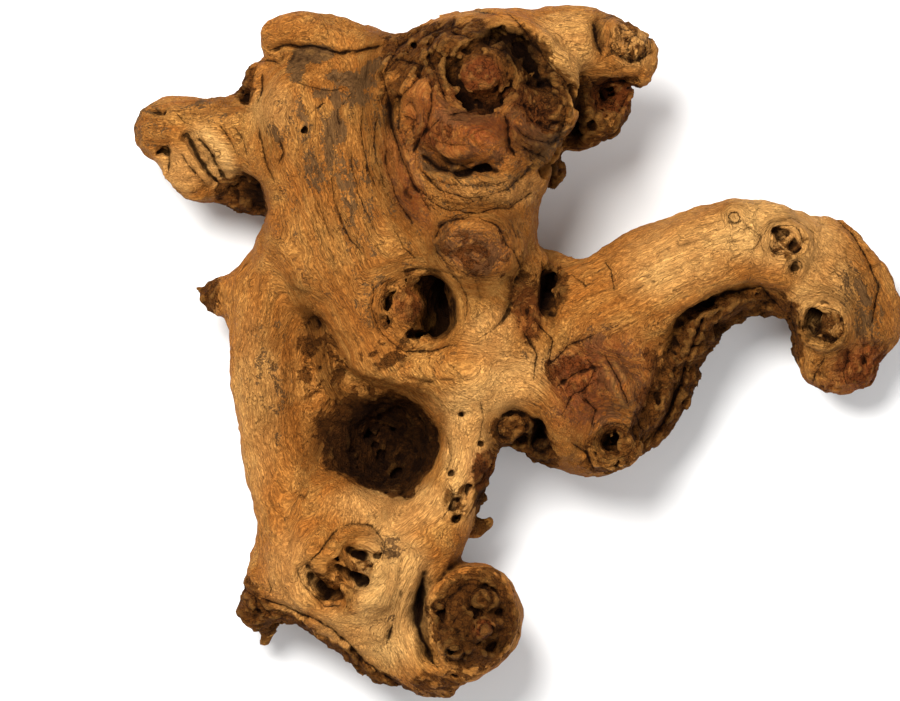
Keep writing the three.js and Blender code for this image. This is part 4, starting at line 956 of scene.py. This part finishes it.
def crowding(volume, points, reach):  # share of wood around a point: high in hollows, low on ridges
    step = max(1, int(reach / cell / 1.6))
    count = volume.count // step
    solid = (volume.values < 0)[:count[0] * step, :count[1] * step, :count[2] * step]
    solid = solid.reshape(count[0], step, count[1], step, count[2], step).mean((1, 3, 5), dtype=np.float32)
    around = blur(solid, reach / cell / step)
    low = volume.low + (step - 1) * cell / 2
    return readLattice(around[..., None], low, step * cell, points)[:, 0]


def keepSurfaceFacts(obj, volume, lines):
    points = readMesh(obj)[0]
    setVector(obj.data, "grain", grainAt(points))
    places = masksAt(points)
    setVector(obj.data, "places", places[:, [column[kind] for kind in ("dark", "weathered", "red")]])
    # Pale places: wear, and partly painted light on the bridge, foot and arms.
    setVector(obj.data, "worn", places[:, [column["pale"]] * 3])
    # Share of wood near and far round each point, for the painted shade in furrows and hollows.
    near = crowding(volume, points, wood["nearReach"])
    far = crowding(volume, points, wood["farReach"])
    setVector(obj.data, "hollows", np.stack([near, far, places[:, column["black"]]], 1))
    signed, strength, width, _ = nearLines(points, lines)
    setVector(obj.data, "creases", np.stack([signed, strength, width], 1))


def feed(node, values):  # links outputs to a node's inputs, and sets the rest
    for key, value in values.items():
        value = getattr(value, "socket", value)
        if isinstance(value, bpy.types.NodeSocket):
            node.id_data.links.new(value, node.inputs[key])
        else:
            node.inputs[key].default_value = value


def put(tree, kind, values=None, **settings):
    node = tree.nodes.new(kind)
    for key, value in settings.items():
        setattr(node, key, value)
    feed(node, values or {})
    return node


class Value:  # a node's output, so that masks can be written as plain sums
    def __init__(self, socket):
        self.socket = socket
        self.tree = socket.id_data

    def maths(self, operation, a, b=0.0):
        return Value(put(self.tree, "ShaderNodeMath", {0: a, 1: b}, operation=operation).outputs[0])

    def __add__(self, other):
        return self.maths("ADD", self, other)

    def __radd__(self, other):
        return self.maths("ADD", other, self)

    def __sub__(self, other):
        return self.maths("SUBTRACT", self, other)

    def __rsub__(self, other):
        return self.maths("SUBTRACT", other, self)

    def __mul__(self, other):
        return self.maths("MULTIPLY", self, other)

    def __rmul__(self, other):
        return self.maths("MULTIPLY", other, self)

    def __rtruediv__(self, other):
        return self.maths("DIVIDE", other, self)

    def __abs__(self):
        return self.maths("ABSOLUTE", self)


def least(a, b):
    return a.maths("MINIMUM", a, b)


def most(a, b):
    return a.maths("MAXIMUM", a, b)


def between(value, low, high):  # rises smoothly from 0 at low to 1 at high
    return Value(put(value.tree, "ShaderNodeMapRange", {"Value": value, "From Min": low, "From Max": high},
                     interpolation_type="SMOOTHSTEP").outputs[0])


def edge(value, name):
    return between(value, *finish["edges"][name])


def mixed(share, a, b):
    return put(share.tree, "ShaderNodeMix", {0: share, 6: a, 7: b}, data_type="RGBA").outputs[2]


def tone(name):
    return (*finish["tones"][name], 1.0)


def over(colour, share, name):  # lays a tone over a colour
    return mixed(share, colour, tone(name))


def newGroup(name, inputs, output):
    group = bpy.data.node_groups.new(name, "ShaderNodeTree")
    for label, value in inputs.items():
        kind = "NodeSocketVector" if value is None else "NodeSocketFloat"
        socket = group.interface.new_socket(label, in_out="INPUT", socket_type=kind)
        if value is not None:
            socket.default_value = value
    group.interface.new_socket(output, in_out="OUTPUT", socket_type="NodeSocketFloat")
    start, end = group.nodes.new("NodeGroupInput"), group.nodes.new("NodeGroupOutput")
    return group, {label: Value(start.outputs[label]) for label in inputs}, end


def scaled(group, vector, size):
    return put(group, "ShaderNodeVectorMath", {0: vector, 3: 1.0 / size}, operation="SCALE").outputs[0]


def scaledFlow(group, given):  # the grain's flow, pressed along itself and brought to the width
    stretch = put(group, "ShaderNodeCombineXYZ", {0: 1.0, 1: 1.0, 2: given["Shorten"]}).outputs[0]
    flow = put(group, "ShaderNodeVectorMath", {0: given["Grain"], 1: stretch}, operation="MULTIPLY")
    return scaled(group, flow.outputs[0], given["Width"])


def cloudIn(group, vector, **settings):
    return Value(put(group, "ShaderNodeTexNoise", {"Vector": vector, "Scale": 1.0, **settings}).outputs[0])


def fibreGroup():  # thin streaks along the grain
    inputs = {"Grain": None, "Width": 1.0, "Shorten": 1.0, "Low": 0.3, "High": 0.7}
    group, given, out = newGroup("fibres", inputs, "Streak")
    streak = cloudIn(group, scaledFlow(group, given), Detail=3.0, Roughness=0.6)
    feed(out, {"Streak": between(streak, given["Low"], given["High"])})
    return group


def lineGroup():  # thin lines where a cloudy value passes its middle
    inputs = {"Grain": None, "Width": 1.0, "Shorten": 1.0, "Thin": 0.03}
    group, given, out = newGroup("fineCracks", inputs, "Line")
    cloud = cloudIn(group, scaledFlow(group, given), Detail=4.0, Roughness=0.55)
    feed(out, {"Line": 1.0 - between(abs(cloud - 0.5), 0.0, given["Thin"])})
    return group


def mottleGroup():  # cloudy blotches with soft or hard edges
    group, given, out = newGroup("mottle", {"Place": None, "Size": 8.0, "Edge": 0.1}, "Blotch")
    place = scaled(group, given["Place"], given["Size"])
    cloud = cloudIn(group, place, Detail=5.0, Roughness=0.62, Distortion=0.5)
    middle = 0.52  # a little above the noise's mean, so that blotches stay apart
    feed(out, {"Blotch": between(cloud, middle - given["Edge"], middle + given["Edge"])})
    return group


def surfaceMasks(tree):  # how much of each place and effect a point of the surface shows
    def stored(name):
        return put(tree, "ShaderNodeAttribute", attribute_name=name).outputs["Vector"]

    def parts(name):
        return [Value(socket) for socket in put(tree, "ShaderNodeSeparateXYZ", {0: stored(name)}).outputs]

    m = SimpleNamespace()
    m.dark, m.weathered, m.red = parts("places")
    m.near, m.far, m.black = parts("hollows")
    m.aside, m.drawn, m.width = parts("creases")
    m.worn = parts("worn")[0]
    own = put(tree, "ShaderNodeTexCoord").outputs["Object"]
    place = put(tree, "ShaderNodeVectorMath", {0: own, 3: 1000.0}, operation="SCALE").outputs[0]
    wander = put(tree, "ShaderNodeTexNoise", {"Vector": place, "Scale": finish["curlSize"], "Detail": 2.0})
    curled = {0: wander.outputs["Color"], 1: finish["curlReach"], 2: stored("grain")}
    grain = put(tree, "ShaderNodeVectorMath", curled, operation="MULTIPLY_ADD").outputs[0]
    groups = {"fibres": fibreGroup(), "fineCracks": lineGroup(), "mottle": mottleGroup()}
    follows = {"grain": grain, "place": place}
    for name, (kind, path, values) in finish["effects"].items():
        node = put(tree, "ShaderNodeGroup", node_tree=groups[kind])
        feed(node, {0: follows[path], **values})
        setattr(m, name, Value(node.outputs[0]))
    return m


def addDrawnLines(m):  # the drawn lines, thin and broken, and the shade beside them
    ragged = m.aside + 0.35 * (m.grit - 0.5)
    swelling = 1.3 * m.swelling - 0.25
    apart = abs(ragged) - 0.42 * m.width * swelling
    m.line = (1.0 - edge(apart, "line")) * edge(m.drawn, "drawn") * edge(m.width, "lineWidth")
    m.lineShade = (1.0 - edge(apart, "lineShade")) * m.drawn * swelling


def soundWood(m):
    strengths = finish["strengths"]
    colour = over(tone("sapwood"), m.clouds, "paleSapwood")
    colour = over(colour, strengths["orange"] * m.broad, "orangeSapwood")
    # Pale wood: wear, and partly painted light on the bridge, foot and arms.
    colour = over(colour, m.worn * (0.55 + 0.35 * m.clouds), "palestWood")
    skin = least(m.weathered, 0.55)
    colour = over(colour, strengths["brownSkin"] * skin, "brownWood")
    clean = 1.0 - 0.35 * m.worn
    for mask, name in ((1.0 - m.fine, "fineFibres"), (1.0 - m.medium, "fibreBundles"), (m.grit, "grit")):
        colour = over(colour, strengths[name] * mask * clean, "fibreLine")
    return over(colour, m.dashes * (0.25 + 0.4 * m.blotches) * clean, "greyWood")


def weatheredWood(m, colour):  # grey skin in ragged patches, then red wood
    uneven = 0.26 * (m.stains + m.blotches - 1.0) + 0.3 * (m.grit - 0.5)
    grey = mixed(m.medium, tone("greyWood"), tone("weathered"))
    skin = finish["strengths"]["greySkin"] * edge(m.weathered + uneven, "greySkin")
    return over(mixed(skin, colour, grey), m.red * (0.35 + 0.65 * m.medium), "redWood")


def heartwood(m, colour):  # its mask is kept, for the roughness and the relief
    strengths = finish["strengths"]
    m.heart = edge(m.dark + 0.4 * (m.blotches + 0.5 * m.stains - 0.7), "heartwood")
    darkest = (1.0 - m.medium) * (1.0 - 0.6 * m.blotches)
    inner = mixed(darkest, tone("brownWood"), tone("heartwood"))
    inner = over(inner, strengths["heartRed"] * m.red, "redWood")
    inner = over(inner, strengths["crackle"] * m.crackle, "charcoal")
    return mixed(strengths["heartwood"] * m.heart, colour, inner)


def cracksAndHollows(m, colour):
    strengths = finish["strengths"]
    # Painted shade: hollows, found by the share of wood far round a point, and the black places go
    # charcoal.
    deep = most(edge(m.far, "deep"), m.black * (0.82 + 0.18 * m.blotches))
    colour = over(colour, m.checks * (0.05 + 0.5 * m.clouds), "heartwood")
    colour = over(colour, strengths["lineShade"] * m.lineShade, "heartwood")
    colour = over(colour, strengths["line"] * m.line, "charcoal")
    # Painted shade in furrows, found by the share of wood near a point; ridges, with little wood near, go
    # paler.
    colour = over(colour, strengths["sunk"] * edge(m.near, "sunk"), "charcoal")
    colour = over(colour, strengths["raised"] * edge(m.near, "raised"), "paleSapwood")
    return over(colour, strengths["deep"] * deep, "charcoal")


def surfaceRelief(m):
    relief = finish["relief"]
    height = relief["fine"] * m.fine + relief["medium"] * m.medium
    height += relief["dashes"] * (1.0 - m.dashes) + relief["checks"] * (1.0 - m.checks)
    height += relief["line"] * (1.0 - m.line) + relief["crackle"] * (1.0 - m.crackle) * m.heart
    height += m.grit * (relief["grit"] + relief["heartGrit"] * m.heart)
    values = {"Height": height, "Strength": 1.0, "Distance": relief["depth"]}
    return put(height.tree, "ShaderNodeBump", values).outputs[0]


def woodMaterial():
    made = bpy.data.materials.new("driftwood")
    made.use_nodes = True
    shader = made.node_tree.nodes["Principled BSDF"]
    shader.inputs["Specular IOR Level"].default_value = finish["gloss"]
    m = surfaceMasks(made.node_tree)
    addDrawnLines(m)
    colour = cracksAndHollows(m, heartwood(m, weatheredWood(m, soundWood(m))))
    rough = finish["roughness"] + finish["heartRoughness"] * m.heart + finish["fibreRoughness"] * m.fine
    feed(shader, {"Base Color": colour, "Roughness": rough, "Normal": surfaceRelief(m)})
    return made


# The place it lies in

def plainMaterial(name, colour, roughness):
    made = bpy.data.materials.new(name)
    made.use_nodes = True
    shader = made.node_tree.nodes["Principled BSDF"]
    shader.inputs["Base Color"].default_value = (*colour, 1)
    shader.inputs["Roughness"].default_value = roughness
    return made


ground = {"side": 6.0, "drop": 0.0005, "colour": (0.86, 0.86, 0.86), "roughness": 0.8}


def buildFloor():
    side = ground["side"]
    turns = ((-1, -1), (1, -1), (1, 1), (-1, 1))
    corners = [(side * x, side * y, -ground["drop"]) for x, y in turns]
    mesh = bpy.data.meshes.new("floor")
    mesh.from_pydata(corners, [], [(0, 1, 2, 3)])
    floor = bpy.data.objects.new("floor", mesh)
    bpy.context.scene.collection.objects.link(floor)
    mesh.materials.append(plainMaterial("paleFloor", ground["colour"], ground["roughness"]))
    return floor


lights = {
    "key": {"place": (-0.45, 0.60, 1.55), "size": 0.8, "power": 50.0, "colour": (1.0, 0.985, 0.96)},
    "fill": {"place": (0.7, -0.5, 1.6), "size": 1.2, "power": 10.0, "colour": (0.99, 0.99, 1.0)},
    "sky": 0.42,  # brightness of the even light from all round
}


def aimed(obj, place, target=(0, 0, 0.04)):
    obj.location = place
    obj.rotation_euler = (Vector(target) - Vector(place)).to_track_quat("-Z", "Y").to_euler()


def buildLights():
    for name in ("key", "fill"):
        facts = lights[name]
        lamp = bpy.data.lights.new(name, "AREA")
        lamp.shape = "DISK"
        lamp.size, lamp.energy, lamp.color = facts["size"], facts["power"], facts["colour"]
        obj = bpy.data.objects.new(name, lamp)
        aimed(obj, facts["place"])
        bpy.context.scene.collection.objects.link(obj)
    world = bpy.data.worlds.new("studio")
    world.use_nodes = True
    world.node_tree.nodes["Background"].inputs["Color"].default_value = (1, 1, 1, 1)
    world.node_tree.nodes["Background"].inputs["Strength"].default_value = lights["sky"]
    bpy.context.scene.world = world


shot = {
    "width": 900,  # pixels
    "pixel": 0.000377,  # metres of wood that one pixel covers, at the level below
    "level": 0.024,
    "height": 4.0,  # of the camera above the floor
    "middle": (-0.0255, 0.0008),  # plan point below the camera
    "sensor": 36,
}


def buildCamera():
    camera = bpy.data.objects.new("camera", bpy.data.cameras.new("camera"))
    bpy.context.scene.collection.objects.link(camera)
    camera.data.sensor_width = shot["sensor"]
    seen = shot["width"] * shot["pixel"]
    camera.data.lens = shot["sensor"] * (shot["height"] - shot["level"]) / seen
    camera.location = (*shot["middle"], shot["height"])
    bpy.context.scene.camera = camera


bpy.context.scene.view_settings.view_transform = "Standard"
buildCamera()
buildLights()
floor = buildFloor()

woodObject = buildWood(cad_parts["mopani_wood"])
woodObject.data.materials.append(woodMaterial())
stage("coloured")
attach(woodObject, "root")
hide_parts("mopani_wood")
